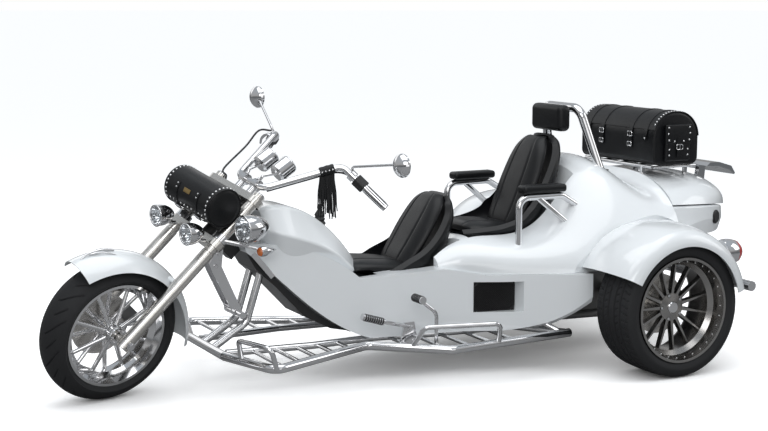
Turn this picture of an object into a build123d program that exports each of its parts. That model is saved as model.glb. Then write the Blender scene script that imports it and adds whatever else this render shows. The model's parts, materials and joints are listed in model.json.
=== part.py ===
"""Three-wheeled motor trike with a raked fork, tandem bucket seats and a lidded rear body.

Millimetres, +X forward, +Y to the rider's left, +Z up, origin on the floor under the middle of
the overall length. Tables give places as distances ahead of the rear axle, out from the middle
and above the floor. Steered pieces are drawn straight ahead about the front axle and then turned
about the steering axis by the angle at which the trike is parked.
"""

import os
from math import asin, cos, radians, sin, sqrt

from build123d import *

# Driving dimensions
WHEELBASE = 2440.0
RUNNING = 0.08
SEAT_GAP = 0.4
PANEL_GAP = 0.6
MOVING_GAP = 6.0

# Wheels
REAR_TYRE_R = 316.0
REAR_TYRE_W = 262.0
REAR_RIM_R = 243.0
REAR_BEAD_R = 229.0
REAR_RIM_W = 250.0
REAR_WHEEL_Y = 717.0
REAR_SPOKES = 15
REAR_STUB_R = 20.0
FRONT_TYRE_R = 315.0
FRONT_TYRE_W = 180.0
FRONT_CROWN_R = 95.0
FRONT_RIM_R = 232.0
FRONT_BEAD_R = 216.0
FRONT_RIM_W = 146.0
FRONT_SPOKES = 16
FRONT_AXLE_R = 12.0

# Fork and steering
RAKE = radians(43.9)
PARKED_STEER = 18.2
FORK_OFFSET = 50.0
FORK_HALF_SPACING = 147.0
LEG_COVER_R = 29.0
LEG_TUBE_R = 26.5
LEG_BELOW_AXLE = 28.0
LEG_COVER_TOP = 516.0
LEG_TOP = 852.0
STEM_R = 15.0
HEAD_TUBE_R = 34.0
LOWER_YOKE_T = 548.0
UPPER_YOKE_T = 800.0
YOKE_DEPTH = 32.0

# Rear end of the overall length, behind the rear axle
TAIL_REACH = 741.0

# Parked steering: a lean of the turned wheel lowers the axle
steer = radians(PARKED_STEER)
fork_up = (-cos(RAKE), 0, sin(RAKE))
fork_out = (sin(RAKE), 0, cos(RAKE))
lean = asin(sin(steer) * cos(RAKE))
turned_axle_z = (FRONT_TYRE_R - FRONT_CROWN_R) * cos(lean) + FRONT_CROWN_R
swing = FORK_OFFSET * (1 - cos(steer))
front_axle_z = turned_axle_z + swing * cos(RAKE)
toe = sin(steer) * sin(RAKE)
turned_axle_x = WHEELBASE - swing * sin(RAKE)
front_reach = turned_axle_x + (FRONT_TYRE_R - FRONT_CROWN_R) * sqrt(1 - toe * toe) + FRONT_CROWN_R
rear_axle_x = -(front_reach - TAIL_REACH) / 2

BODY = Location((rear_axle_x, 0, 0))
front_axle = Vector(rear_axle_x + WHEELBASE, 0, front_axle_z)
steer_foot = front_axle - Vector(*fork_out) * FORK_OFFSET
STEER_AXIS = Axis(steer_foot, fork_up)
FORK = Plane(origin=(0, 0, 0), x_dir=fork_out, z_dir=fork_up)
SIDE = Plane(origin=(0, 0, 0), x_dir=(1, 0, 0), z_dir=(0, -1, 0))

# The tables hold for this wheelbase; the floor between the seats takes up any change of it
TABLE_WHEELBASE = 2440.0
STRETCH_FROM = 300.0
STRETCH_TO = 960.0

os.makedirs("parts", exist_ok=True)


def ahead(place):
    """Place ahead of the rear axle once the floor has taken up a change of wheelbase."""
    share = min(max((place - STRETCH_FROM) / (STRETCH_TO - STRETCH_FROM), 0.0), 1.0)
    return place + (WHEELBASE - TABLE_WHEELBASE) * share


def placed(table):
    """Points of a table, each with its place ahead of the rear axle brought up to date."""
    return [(ahead(x), *rest) for x, *rest in table]


def write(piece, label):
    """Label a finished piece and write it as its own file."""
    piece.label = label
    export_step(piece, f"parts/{label}.step")


def on_body(builder, label):
    """Write a piece that was drawn ahead of the rear axle."""
    write(builder.part.moved(BODY), label)


def on_fork(builder, label):
    """Write a piece that was drawn straight ahead about the front axle, turned as parked."""
    straight = builder.part.moved(Location(front_axle))
    write(straight.rotate(STEER_AXIS, PARKED_STEER), label)


def tube(points, radius, bend=0.0):
    """Round bar along straight runs whose corners have one bend radius."""
    with BuildPart() as bar:
        with BuildLine() as path:
            if bend:
                FilletPolyline(*points, radius=bend)
            else:
                Polyline(*points)
        with BuildSketch(Plane(origin=path.line @ 0, z_dir=path.line % 0)):
            Circle(radius)
        sweep()
    return bar.part


def pair(points):
    """The same points on the other side of the middle plane."""
    return [(x, -y, z) for x, y, z in points]


def slab(outline, half_width, middle=0.0, grown=0.0, corner=0.0):
    """Side outline with rounded corners, grown by a clearance, carried to both sides of a middle."""
    with BuildPart() as block:
        with BuildSketch(SIDE.offset(-middle)) as side:
            with BuildLine():
                Polyline(*placed(outline), close=True)
            make_face()
            if corner:
                fillet(side.vertices(), corner)
            if grown:
                offset(amount=grown, kind=Kind.INTERSECTION)
        extrude(amount=half_width + grown, both=True)
    return block.part


def spun(outline, plane, curve_from=0, curve_to=0):
    """Half outline of radius and length turned about a plane's normal, with one curved stretch."""
    with BuildPart() as turned:
        with BuildSketch(Plane(origin=plane.origin, x_dir=plane.x_dir, z_dir=-plane.y_dir)):
            with BuildLine():
                if curve_to:
                    Polyline(*outline[: curve_from + 1])
                    Spline(*outline[curve_from : curve_to + 1])
                    Polyline(*outline[curve_to:], outline[0])
                else:
                    Polyline(*outline, close=True)
            make_face()
        revolve(axis=Axis(plane.origin, plane.z_dir))
    return turned.part


def loft_body(stations, corner=0.0):
    """Smooth body through cross sections: ahead, then pairs of half width and height upwards."""
    with BuildPart() as body:
        for place, *rise in placed(stations):
            right = [(-y, z) for y, z in rise]
            with BuildSketch(Plane(origin=(place, 0, 0), x_dir=(0, 1, 0), z_dir=(1, 0, 0))) as section:
                with BuildLine():
                    Polyline(*rise, *reversed(right), close=True)
                make_face()
                if corner:
                    fillet(section.vertices().group_by(Axis.Y)[-1], corner)
                    widths = section.vertices().group_by(Axis.X)
                    fillet(widths[0] + widths[-1], corner / 2)
        loft()
    return body.part


def radial_plane(hub, angle):
    """Plane through a wheel's axis, with X out from the hub at an angle up from the front."""
    turn = radians(angle)
    return Plane(origin=hub, x_dir=(cos(turn), 0, sin(turn)), z_dir=(-sin(turn), 0, cos(turn)))


def crowned_body(stations):
    """Smooth body through cross sections of one curve each: ahead, crown height, then the flank."""
    with BuildPart() as body:
        for place, crown, *flank in placed(stations):
            right = [(-y, z) for y, z in reversed(flank)]
            with BuildSketch(Plane(origin=(place, 0, 0), x_dir=(0, 1, 0), z_dir=(1, 0, 0))):
                with BuildLine():
                    Spline(*flank, (0, crown), *right)
                    Line(right[-1], flank[0])
                make_face()
        loft()
    return body.part


def spoke(root, tip, root_r, tip_r):
    """Tapered round spoke between two points."""
    way = Vector(*tip) - Vector(*root)
    with BuildPart() as bar:
        with BuildSketch(Plane(origin=root, z_dir=way)):
            Circle(root_r)
        with BuildSketch(Plane(origin=tip, z_dir=way)):
            Circle(tip_r)
        loft()
    return bar.part


WHEEL = Plane(origin=(0, 0, 0), x_dir=(1, 0, 0), z_dir=(0, 1, 0))


BULGE_R = 40.0
FLANGE_R = 16.0


def tyre(radius, width, bead_r, bead_half, crown_r, shoulder):
    """Solid tyre about the Y axis: bead seat, bulged sidewalls and a crowned tread."""
    half = width / 2
    tread_half = half - shoulder
    edge_r = radius - crown_r + sqrt(crown_r**2 - tread_half**2)
    with BuildPart() as ring:
        with BuildSketch(Plane.XY):
            with BuildLine():
                Spline((edge_r, tread_half), (bead_r + BULGE_R, half), (bead_r + FLANGE_R, bead_half))
                Polyline((bead_r + FLANGE_R, bead_half), (bead_r, bead_half), (bead_r, -bead_half))
                Line((bead_r, -bead_half), (bead_r + FLANGE_R, -bead_half))
                Spline((bead_r + FLANGE_R, -bead_half), (bead_r + BULGE_R, -half), (edge_r, -tread_half))
                ThreePointArc((edge_r, -tread_half), (radius, 0), (edge_r, tread_half))
            make_face()
        revolve(axis=Axis.Y)
    return ring.part


# Rear wheels: wide low tyre, deep dished rim with thin spokes, disc on the inner side
REAR_CROWN_R = 1400.0
REAR_BARREL = 9.0
REAR_DISH_Y = 34.0
REAR_HUB_R = 64.0
REAR_DISC_R = 140.0
REAR_DISC_Y = -62.0
LUG_PCD = 112.0
LUGS = 5
LUG_R = 9.0
LUG_DEPTH = 22.0
BEAD_IN = 14.0
LIP_IN = 13.0
LIP_W = 12.0
REAR_SHOULDER = 22.0
REAR_RAMP = 62.0
REAR_RAMP_IN = 66.0
REAR_WELL = 40.0
REAR_WELL_IN = 46.0
REAR_WELL_DROP = 20.0
REAR_BACK_IN = 24.0
REAR_FACE_IN = 28.0
HUB_REACH = 50.0
CAP_R = 30.0
CAP_EDGE = 8.0
CAP_TOP = 10.0
STUB_STOP = 6.0
REAR_SPOKE_IN = 26.0
REAR_SPOKE_T = 24.0
REAR_SPOKE_TAPER = 8.0
REAR_SPOKE_ENDS = (11.0, 6.0)
SPOKE_HUB_SINK = 8.0
SPOKE_WELL_SINK = 4.0
REAR_DISC_T = 10.0
DISC_HAT = 12.0
DISC_BORE = 30.0
rim_half = REAR_RIM_W / 2
rear_tyre = tyre(REAR_TYRE_R, REAR_TYRE_W, REAR_BEAD_R, rim_half - BEAD_IN, REAR_CROWN_R, REAR_SHOULDER)

seat_r = REAR_BEAD_R - SEAT_GAP
well_r = seat_r - REAR_WELL_DROP
barrel = [
    (REAR_RIM_R, rim_half), (REAR_RIM_R, rim_half - LIP_IN), (seat_r, rim_half - BEAD_IN), (seat_r, REAR_RAMP),
    (well_r, REAR_WELL), (well_r, -REAR_WELL), (seat_r, -REAR_RAMP), (seat_r, BEAD_IN - rim_half),
    (REAR_RIM_R, LIP_IN - rim_half), (REAR_RIM_R, -rim_half), (REAR_RIM_R - LIP_W, -rim_half),
    (seat_r - REAR_BARREL, REAR_BACK_IN - rim_half), (seat_r - REAR_BARREL, -REAR_RAMP_IN),
    (well_r - REAR_BARREL, -REAR_WELL_IN), (well_r - REAR_BARREL, REAR_WELL_IN),
    (seat_r - REAR_BARREL, REAR_RAMP_IN), (seat_r - REAR_BARREL, rim_half - REAR_FACE_IN),
    (REAR_RIM_R - LIP_W, rim_half),
]
hub = [
    (REAR_STUB_R + RUNNING, -HUB_REACH), (REAR_HUB_R, -HUB_REACH), (REAR_HUB_R, REAR_DISH_Y),
    (CAP_R, REAR_DISH_Y + CAP_EDGE), (0, REAR_DISH_Y + CAP_TOP), (0, REAR_DISH_Y - STUB_STOP),
    (REAR_STUB_R + RUNNING, REAR_DISH_Y - STUB_STOP),
]
rear_barrel = spun(barrel, WHEEL)
rear_hub = spun(hub, WHEEL)
with BuildPart() as rear_rim:
    add(rear_barrel)
    add(rear_hub)
    with BuildSketch(Plane(origin=(0, REAR_DISH_Y - REAR_SPOKE_IN, 0), x_dir=(1, 0, 0), z_dir=(0, 1, 0))):
        with PolarLocations(0, REAR_SPOKES):
            root_half, tip_half = REAR_SPOKE_ENDS
            root_x, tip_x = REAR_HUB_R - SPOKE_HUB_SINK, well_r - SPOKE_WELL_SINK
            Polygon((root_x, -root_half), (tip_x, -tip_half), (tip_x, tip_half), (root_x, root_half), align=None)
    extrude(amount=REAR_SPOKE_T, taper=REAR_SPOKE_TAPER)
    with BuildSketch(Plane(origin=(0, REAR_DISH_Y + CAP_TOP, 0), x_dir=(1, 0, 0), z_dir=(0, 1, 0))):
        with PolarLocations(LUG_PCD / 2, LUGS):
            Circle(LUG_R)
    extrude(amount=-LUG_DEPTH, mode=Mode.SUBTRACT)
disc = [
    (REAR_STUB_R + DISC_BORE, REAR_DISC_Y + DISC_HAT), (REAR_STUB_R + DISC_BORE, REAR_DISC_Y),
    (REAR_DISC_R, REAR_DISC_Y - REAR_DISC_T), (REAR_DISC_R, REAR_DISC_Y),
    (REAR_HUB_R + REAR_DISC_T, REAR_DISC_Y), (REAR_HUB_R + REAR_DISC_T, REAR_DISC_Y + DISC_HAT),
]
rear_disc = spun(disc, WHEEL)

SIDES = {"left": 1, "right": -1}
for side, sign in SIDES.items():
    spot = Location((rear_axle_x, sign * REAR_WHEEL_Y, REAR_TYRE_R))
    for piece, kind in ((rear_tyre, "tyre"), (rear_rim.part, "rim"), (rear_disc, "brake_disc")):
        turned = piece if sign > 0 else piece.mirror(Plane.XZ)
        write(turned.moved(spot), f"rear_{kind}_{side}")

# Front wheel
FRONT_HUB_R = 40.0
FRONT_DISC_R = 140.0
FRONT_DISC_Y = -76.0
FRONT_DISC_T = 6.0
FRONT_SHOULDER = 8.0
FRONT_RAMP = 34.0
FRONT_WELL = 20.0
FRONT_WELL_IN = 22.0
FRONT_WELL_DROP = 18.0
FRONT_BARREL = 10.0
FRONT_EDGE_IN = 26.0
FRONT_HUB_HALF = 84.0
SPOKE_ROOT_SINK = 6.0
SPOKE_TIP_SINK = 22.0
front_half = FRONT_RIM_W / 2
front_tyre = tyre(FRONT_TYRE_R, FRONT_TYRE_W, FRONT_BEAD_R, front_half - BEAD_IN, FRONT_CROWN_R, FRONT_SHOULDER)
front_seat_r = FRONT_BEAD_R - SEAT_GAP
front_well_r = front_seat_r - FRONT_WELL_DROP
front_barrel = [
    (FRONT_RIM_R, front_half), (FRONT_RIM_R, front_half - LIP_IN), (front_seat_r, front_half - BEAD_IN),
    (front_seat_r, FRONT_RAMP), (front_well_r, FRONT_WELL), (front_well_r, -FRONT_WELL),
    (front_seat_r, -FRONT_RAMP), (front_seat_r, BEAD_IN - front_half), (FRONT_RIM_R, LIP_IN - front_half),
    (FRONT_RIM_R, -front_half), (FRONT_RIM_R - LIP_W, -front_half),
    (front_seat_r - FRONT_BARREL, FRONT_EDGE_IN - front_half), (front_well_r - FRONT_BARREL, -FRONT_WELL_IN),
    (front_well_r - FRONT_BARREL, FRONT_WELL_IN), (front_seat_r - FRONT_BARREL, front_half - FRONT_EDGE_IN),
    (FRONT_RIM_R - LIP_W, front_half),
]
front_hub = [
    (FRONT_AXLE_R + RUNNING, -FRONT_HUB_HALF), (FRONT_HUB_R, -FRONT_HUB_HALF),
    (FRONT_HUB_R, FRONT_HUB_HALF), (FRONT_AXLE_R + RUNNING, FRONT_HUB_HALF),
]
front_rim_barrel = spun(front_barrel, WHEEL)
front_rim_hub = spun(front_hub, WHEEL)
SPOKE_ROOT_R = 12.0
SPOKE_TIP_R = 8.5
SPOKE_SPREAD = 34.0
spoke_root = FRONT_HUB_R - SPOKE_ROOT_SINK
spoke_tip = front_seat_r - SPOKE_TIP_SINK
front_spokes = []
for index in range(FRONT_SPOKES):
    lean_out = SPOKE_SPREAD if index % 2 else -SPOKE_SPREAD
    bar = spoke((spoke_root, lean_out, 0), (spoke_tip, lean_out / 4, 0), SPOKE_ROOT_R, SPOKE_TIP_R)
    front_spokes.append(bar.rotate(Axis.Y, index * 360 / FRONT_SPOKES))
with BuildPart() as front_rim:
    add(front_rim_barrel)
    add(front_rim_hub)
    add(front_spokes)
disc_bore = FRONT_HUB_R + SEAT_GAP
front_disc_line = [
    (disc_bore, FRONT_DISC_Y), (FRONT_DISC_R, FRONT_DISC_Y), (FRONT_DISC_R, FRONT_DISC_Y + FRONT_DISC_T),
    (disc_bore, FRONT_DISC_Y + FRONT_DISC_T),
]
front_disc = spun(front_disc_line, WHEEL)
front_wheel = {"front_tyre": front_tyre, "front_rim": front_rim.part, "front_brake_disc": front_disc}
for label, piece in front_wheel.items():
    straight = piece.moved(Location(front_axle))
    write(straight.rotate(STEER_AXIS, PARKED_STEER), label)

# Fork: two legs with covered lower ends, yokes with the steering stem, and the wheel's axle
COVER_CHAMFER = 4.0
AXLE_END = 8.0
SPACER_IN = 15.0
SPACER_WALL = 6.0
SPACER_L = 28.0
YOKE_WALL = 12.0
STEM_WALL = 22.0
leg = [
    (0, -LEG_BELOW_AXLE), (LEG_COVER_R, -LEG_BELOW_AXLE), (LEG_COVER_R, LEG_COVER_TOP),
    (LEG_TUBE_R, LEG_COVER_TOP + COVER_CHAMFER), (LEG_TUBE_R, LEG_TOP), (0, LEG_TOP),
]
left_leg = spun(leg, Plane(origin=(0, FORK_HALF_SPACING, 0), x_dir=fork_out, z_dir=fork_up))
right_leg = spun(leg, Plane(origin=(0, -FORK_HALF_SPACING, 0), x_dir=fork_out, z_dir=fork_up))
axle_half = FORK_HALF_SPACING + LEG_COVER_R + AXLE_END
with BuildPart() as fork_legs:
    add(left_leg)
    add(right_leg)
    Cylinder(FRONT_AXLE_R + RUNNING, axle_half * 2, rotation=(90, 0, 0), mode=Mode.SUBTRACT)
on_fork(fork_legs, "fork_legs")

with BuildPart() as front_axle_pin:
    Cylinder(FRONT_AXLE_R, axle_half * 2, rotation=(90, 0, 0))
    for sign in SIDES.values():
        with Locations((0, sign * (FORK_HALF_SPACING - LEG_COVER_R - SPACER_IN), 0)):
            Cylinder(FRONT_AXLE_R + SPACER_WALL, SPACER_L, rotation=(90, 0, 0))
on_fork(front_axle_pin, "front_axle")

with BuildPart() as fork_yokes:
    for height in (LOWER_YOKE_T, UPPER_YOKE_T):
        with BuildSketch(FORK.offset(height)) as yoke:
            with Locations((0, FORK_HALF_SPACING), (0, -FORK_HALF_SPACING)):
                Circle(LEG_TUBE_R + YOKE_WALL)
            with Locations((-FORK_OFFSET, 0)):
                Circle(STEM_R + STEM_WALL)
            make_hull()
            with Locations((0, FORK_HALF_SPACING), (0, -FORK_HALF_SPACING)):
                Circle(LEG_TUBE_R + RUNNING, mode=Mode.SUBTRACT)
        extrude(amount=YOKE_DEPTH)
    with BuildSketch(FORK.offset(LOWER_YOKE_T)):
        with Locations((-FORK_OFFSET, 0)):
            Circle(STEM_R)
    extrude(amount=UPPER_YOKE_T - LOWER_YOKE_T)
on_fork(fork_yokes, "fork_yokes")

# Steered pieces, placed from the front axle: ahead, out from the middle, above
FENDER_CENTRE = (36.0, -56.0)
FENDER_R = 421.0
FENDER_DROP = 60.0
FENDER_HALF_W = 108.0
FENDER_SKIN = 5.0
FENDER_FROM = 68.0
FENDER_TO = 186.0
FENDER_EAR_IN = 26.0
EAR_R = 12.0
EAR_CUT_R = 13.0
EAR_CUT_SHARE = 0.68
fender_hub = (FENDER_CENTRE[0], 0, FENDER_CENTRE[1])
# The ears sit where the legs' line passes just inside the fender's crown
hub_along = FENDER_CENTRE[0] * cos(RAKE) - FENDER_CENTRE[1] * sin(RAKE)
hub_away = FENDER_CENTRE[0] ** 2 + FENDER_CENTRE[1] ** 2 - hub_along**2
ear_t = sqrt((FENDER_R - FENDER_EAR_IN) ** 2 - hub_away) - hub_along
ear_at = (-ear_t * cos(RAKE), 0, ear_t * sin(RAKE))
with BuildPart() as fender_skin:
    with BuildSketch(radial_plane(fender_hub, FENDER_FROM)):
        with BuildLine():
            rim_r = FENDER_R - FENDER_DROP
            inner = FENDER_HALF_W - FENDER_SKIN
            ThreePointArc((rim_r, -FENDER_HALF_W), (FENDER_R, 0), (rim_r, FENDER_HALF_W))
            Line((rim_r, FENDER_HALF_W), (rim_r, inner))
            ThreePointArc((rim_r, inner), (FENDER_R - FENDER_SKIN, 0), (rim_r, -inner))
            Line((rim_r, -inner), (rim_r, -FENDER_HALF_W))
        make_face()
    revolve(axis=Axis(fender_hub, (0, -1, 0)), revolution_arc=FENDER_TO - FENDER_FROM)
with BuildPart() as fender_ears:
    with BuildSketch(Plane(origin=ear_at, x_dir=(1, 0, 0), z_dir=(0, 1, 0))):
        Circle(EAR_R)
    extrude(amount=FORK_HALF_SPACING - LEG_COVER_R - SEAT_GAP, both=True)
    with BuildSketch(Plane(origin=ear_at, x_dir=(1, 0, 0), z_dir=(0, 1, 0))):
        Circle(EAR_CUT_R)
    extrude(amount=FENDER_HALF_W * EAR_CUT_SHARE, both=True, mode=Mode.SUBTRACT)
with BuildPart() as front_fender:
    add(fender_skin.part)
    add(fender_ears.part)
on_fork(front_fender, "front_fender")

CALIPER_CLEAR = 6.0
CALIPER_IN = 20.0
CALIPER_AT = (-70.0, -112.0)
CALIPER_FACE = (96.0, 62.0)
CALIPER_W = 78.0
with BuildPart() as front_caliper:
    with BuildSketch(Plane(origin=(0, -FORK_HALF_SPACING + CALIPER_IN, 0), x_dir=fork_out, z_dir=(0, 1, 0))):
        with Locations(CALIPER_AT):
            Rectangle(*CALIPER_FACE)
    extrude(amount=CALIPER_W)
    with BuildSketch(Plane(origin=(0, FRONT_DISC_Y - CALIPER_CLEAR, 0), x_dir=(1, 0, 0), z_dir=(0, 1, 0))):
        Circle(FRONT_DISC_R + CALIPER_CLEAR)
    extrude(amount=FRONT_DISC_T + 2 * CALIPER_CLEAR, mode=Mode.SUBTRACT)
    with BuildSketch(Plane(origin=(0, -FORK_HALF_SPACING, 0), x_dir=fork_out, z_dir=fork_up)):
        Circle(LEG_COVER_R + SEAT_GAP)
    extrude(amount=LEG_COVER_TOP, mode=Mode.SUBTRACT)
on_fork(front_caliper, "front_caliper")

BAR_R = 15.0
BAR_CLAMP = (-668.0, 44.0, 601.0)
BAR_RISE = (-668.0, 96.0, 601.0)
CLAMP_R = 25.0
CLAMP_HALF = 17.0
BAR_BEND = (-970.0, 253.0, 725.0)
GRIP_WAY = Vector(-0.415, 0.741, -0.528).normalized()
GRIP_R = 18.0
GRIP_FROM = 138.0
BAR_END = 262.0
SWITCH_FROM = 84.0
SWITCH_FACE = (46.0, 52.0)
SWITCH_CORNER = 14.0
BAR_BEND_R = 52.0
RISER_R = 18.0
GRIP_CAP = 6.0
PERCH_BACK = 22.0


def along_grip(distance):
    """Point on the left grip's line, counted from the bar's outer bend."""
    return Vector(*BAR_BEND) + GRIP_WAY * distance


left_half = [tuple(along_grip(BAR_END)), BAR_BEND, BAR_RISE]
bar_line = left_half + list(reversed(pair(left_half)))
bar = tube(bar_line, BAR_R, BAR_BEND_R)
with BuildPart() as handlebar:
    add(bar)
on_fork(handlebar, "handlebar")

riser_foot = UPPER_YOKE_T + YOKE_DEPTH
clamp_p = BAR_CLAMP[0] * sin(RAKE) + BAR_CLAMP[2] * cos(RAKE)
clamp_t = -BAR_CLAMP[0] * cos(RAKE) + BAR_CLAMP[2] * sin(RAKE)
with BuildPart() as bar_risers:
    with BuildSketch(FORK.offset(riser_foot)):
        with Locations((clamp_p, BAR_CLAMP[1]), (clamp_p, -BAR_CLAMP[1])):
            Circle(RISER_R)
    extrude(amount=clamp_t - riser_foot)
    for sign in SIDES.values():
        with BuildSketch(Plane(origin=(BAR_CLAMP[0], sign * BAR_CLAMP[1], BAR_CLAMP[2]), z_dir=(0, 1, 0))):
            Circle(CLAMP_R)
        extrude(amount=CLAMP_HALF, both=True)
    with BuildSketch(Plane(origin=(BAR_CLAMP[0], 0, BAR_CLAMP[2]), z_dir=(0, 1, 0))):
        Circle(BAR_R + RUNNING)
    extrude(amount=BAR_CLAMP[1] * 2, both=True, mode=Mode.SUBTRACT)
on_fork(bar_risers, "bar_risers")

with BuildPart() as grips:
    with BuildSketch(Plane(origin=along_grip(GRIP_FROM), z_dir=GRIP_WAY)):
        Circle(GRIP_R)
    extrude(amount=BAR_END - GRIP_FROM + GRIP_CAP)
    with BuildSketch(Plane(origin=along_grip(GRIP_FROM), z_dir=GRIP_WAY)):
        Circle(BAR_R + RUNNING)
    extrude(amount=BAR_END - GRIP_FROM + RUNNING, mode=Mode.SUBTRACT)
    mirror(about=Plane.XZ)
on_fork(grips, "grips")

with BuildPart() as switch_housings:
    with BuildSketch(Plane(origin=along_grip(SWITCH_FROM), z_dir=GRIP_WAY)):
        RectangleRounded(*SWITCH_FACE, SWITCH_CORNER)
        Circle(BAR_R + RUNNING, mode=Mode.SUBTRACT)
    extrude(amount=GRIP_FROM - SWITCH_FROM - SEAT_GAP)
    mirror(about=Plane.XZ)
on_fork(switch_housings, "switch_housings")

MIRROR_HEAD = (-1057.0, 544.0, 812.0)
MIRROR_R = 52.0
MIRROR_RIM = (-6.0, 2.0)
MIRROR_KNEE = Vector(14, 8, 46)
MIRROR_TIP = Vector(10, -30, -4)
STALK_R = 5.5
STALK_BEND = 20.0
PERCH_HALF = 12.0
PERCH_WALL = 9.0
mirror_root = along_grip(SWITCH_FROM - PERCH_BACK)
mirror_knee = mirror_root + MIRROR_KNEE
mirror_tip = Vector(*MIRROR_HEAD) + MIRROR_TIP
stalk_line = [tuple(mirror_root + Vector(0, 0, BAR_R)), tuple(mirror_knee), tuple(mirror_tip)]
stalk = tube(stalk_line, STALK_R, STALK_BEND)
mirror_face = Plane(origin=MIRROR_HEAD, z_dir=(1, 0, 0))
cup_line = [
    (0, MIRROR_RIM[0]), (MIRROR_R, MIRROR_RIM[0]), (MIRROR_R, MIRROR_RIM[1]), (MIRROR_R * 0.8, 16),
    (MIRROR_R * 0.4, 30), (0, 36),
]
cup = spun(cup_line, mirror_face, 2, 5)
with BuildPart() as mirrors:
    add(stalk)
    add(cup)
    with BuildSketch(Plane(origin=mirror_root - GRIP_WAY * PERCH_HALF, z_dir=GRIP_WAY)):
        Circle(BAR_R + PERCH_WALL)
        Circle(BAR_R + RUNNING, mode=Mode.SUBTRACT)
    extrude(amount=PERCH_HALF * 2)
    add(bar, mode=Mode.SUBTRACT)
    mirror(about=Plane.XZ)
on_fork(mirrors, "mirrors")

GAUGE_WAY = Vector(-0.85, 0, 0.53).normalized()
GAUGE_AT = (-752.0, 66.0, 648.0)
GAUGE_R = 42.0
GAUGE_L = 82.0
GAUGE_FOOT = (34.0, 10.0)
GAUGE_BEVEL = (6.0, 4.0)
GAUGE_ARM_R = 7.0
GAUGE_ARM_BEND = 12.0
gauge_line = Plane(origin=GAUGE_AT, x_dir=(0, 1, 0), z_dir=tuple(GAUGE_WAY))
gauge_cup_line = [
    (0, 0), (GAUGE_FOOT[0], 0), (GAUGE_R, GAUGE_FOOT[1]), (GAUGE_R, GAUGE_L - GAUGE_BEVEL[1]),
    (GAUGE_R - GAUGE_BEVEL[0], GAUGE_L), (0, GAUGE_L),
]
gauge_cup = spun(gauge_cup_line, gauge_line)
gauge_line_points = [
    BAR_CLAMP, (BAR_CLAMP[0] - 24, BAR_CLAMP[1] + 8, BAR_CLAMP[2] + 42),
    (GAUGE_AT[0] - 8, GAUGE_AT[1], GAUGE_AT[2] + 5),
]
gauge_arm = tube(gauge_line_points, GAUGE_ARM_R, GAUGE_ARM_BEND)
with BuildPart() as instruments:
    add(gauge_cup)
    add(gauge_arm)
    with BuildSketch(Plane(origin=(BAR_CLAMP[0], 0, BAR_CLAMP[2]), z_dir=(0, 1, 0))):
        Circle(CLAMP_R + SEAT_GAP)
    extrude(amount=BAR_CLAMP[1] * 2, mode=Mode.SUBTRACT)
    mirror(about=Plane.XZ)
on_fork(instruments, "instruments")


def lamp(front, radius, length):
    """Open chrome lamp shell behind its front point, and the lens that seats in its mouth."""
    way = Plane(origin=front, x_dir=(0, 1, 0), z_dir=(-1, 0, 0))
    lip = radius - 5
    shell = spun(
        [(lip, 0), (radius, 0), (radius, length * 0.2), (radius * 0.92, length * 0.48),
         (radius * 0.68, length * 0.75), (radius * 0.34, length * 0.94), (0, length), (0, length * 0.6),
         (radius * 0.5, length * 0.5),
         (radius * 0.8, length * 0.26), (lip, 10)],
        way, 2, 6,
    )
    lens = spun([(0, 2), (lip - SEAT_GAP, 4), (lip - SEAT_GAP, 9.5), (0, 7.5)], way)
    return shell, lens


HEADLAMP = (-457.0, 262.0, 493.0)
HEADLAMP_R = 61.0
HEADLAMP_L = 136.0
SPOT = (-265.0, 121.0, 446.0)
SPOT_R = 48.0
SPOT_L = 92.0
headlamp_shell, headlamp_lens = lamp(HEADLAMP, HEADLAMP_R, HEADLAMP_L)
spot_shell, spot_lens = lamp(SPOT, SPOT_R, SPOT_L)
CLAMP_T = 598.0
clamp_at = (-CLAMP_T * cos(RAKE), FORK_HALF_SPACING, CLAMP_T * sin(RAKE))
lamp_foot = (HEADLAMP[0] - 55, HEADLAMP[1], HEADLAMP[2] - HEADLAMP_R + 6)
lamp_knee = (lamp_foot[0] + 10, lamp_foot[1] - 20, lamp_foot[2] - 30)
lamp_arm = tube([(clamp_at[0], clamp_at[1] + 30, clamp_at[2]), lamp_knee, lamp_foot], 8.0, 14.0)
spot_arm = tube([(SPOT[0] - 60, SPOT[1], SPOT[2] - 34), (SPOT[0] - 132, SPOT[1], SPOT[2] - 48)], 8.0)
SIGNAL = (-572.0, 250.0, 372.0)
signal_way = Plane(origin=SIGNAL, x_dir=(0, 1, 0), z_dir=(-1, 0, 0))
signal = spun([(0, 0), (20, 0), (23, 20), (18, 50), (0, 88)], signal_way, 1, 4)
signal_root = (clamp_at[0] - 6, clamp_at[1] + 30, clamp_at[2] - 8)
signal_knee = (SIGNAL[0] + 10, SIGNAL[1] - 22, SIGNAL[2] + 10)
signal_arm = tube([signal_root, signal_knee, (SIGNAL[0] - 14, SIGNAL[1], SIGNAL[2])], 6.0, 10.0)
with BuildPart() as lamp_brackets:
    with BuildSketch(Plane(origin=clamp_at, x_dir=fork_out, z_dir=fork_up)):
        Circle(LEG_TUBE_R + 10)
    extrude(amount=15, both=True)
    add(lamp_arm)
    add(signal_arm)
    add(spot_arm)
    add(spot_shell, mode=Mode.SUBTRACT)
    add(fork_yokes.part, mode=Mode.SUBTRACT)
    add(fork_legs.part, mode=Mode.SUBTRACT)
    add(headlamp_shell, mode=Mode.SUBTRACT)
    add(signal, mode=Mode.SUBTRACT)
    with BuildSketch(Plane(origin=clamp_at, x_dir=fork_out, z_dir=fork_up)):
        Circle(LEG_TUBE_R + RUNNING)
    extrude(amount=40, both=True, mode=Mode.SUBTRACT)
    mirror(about=Plane.XZ)
on_fork(lamp_brackets, "lamp_brackets")
with BuildPart() as front_lamps:
    add(headlamp_shell)
    add(spot_shell)
    add(signal)
    mirror(about=Plane.XZ)
on_fork(front_lamps, "front_lamps")
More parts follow.
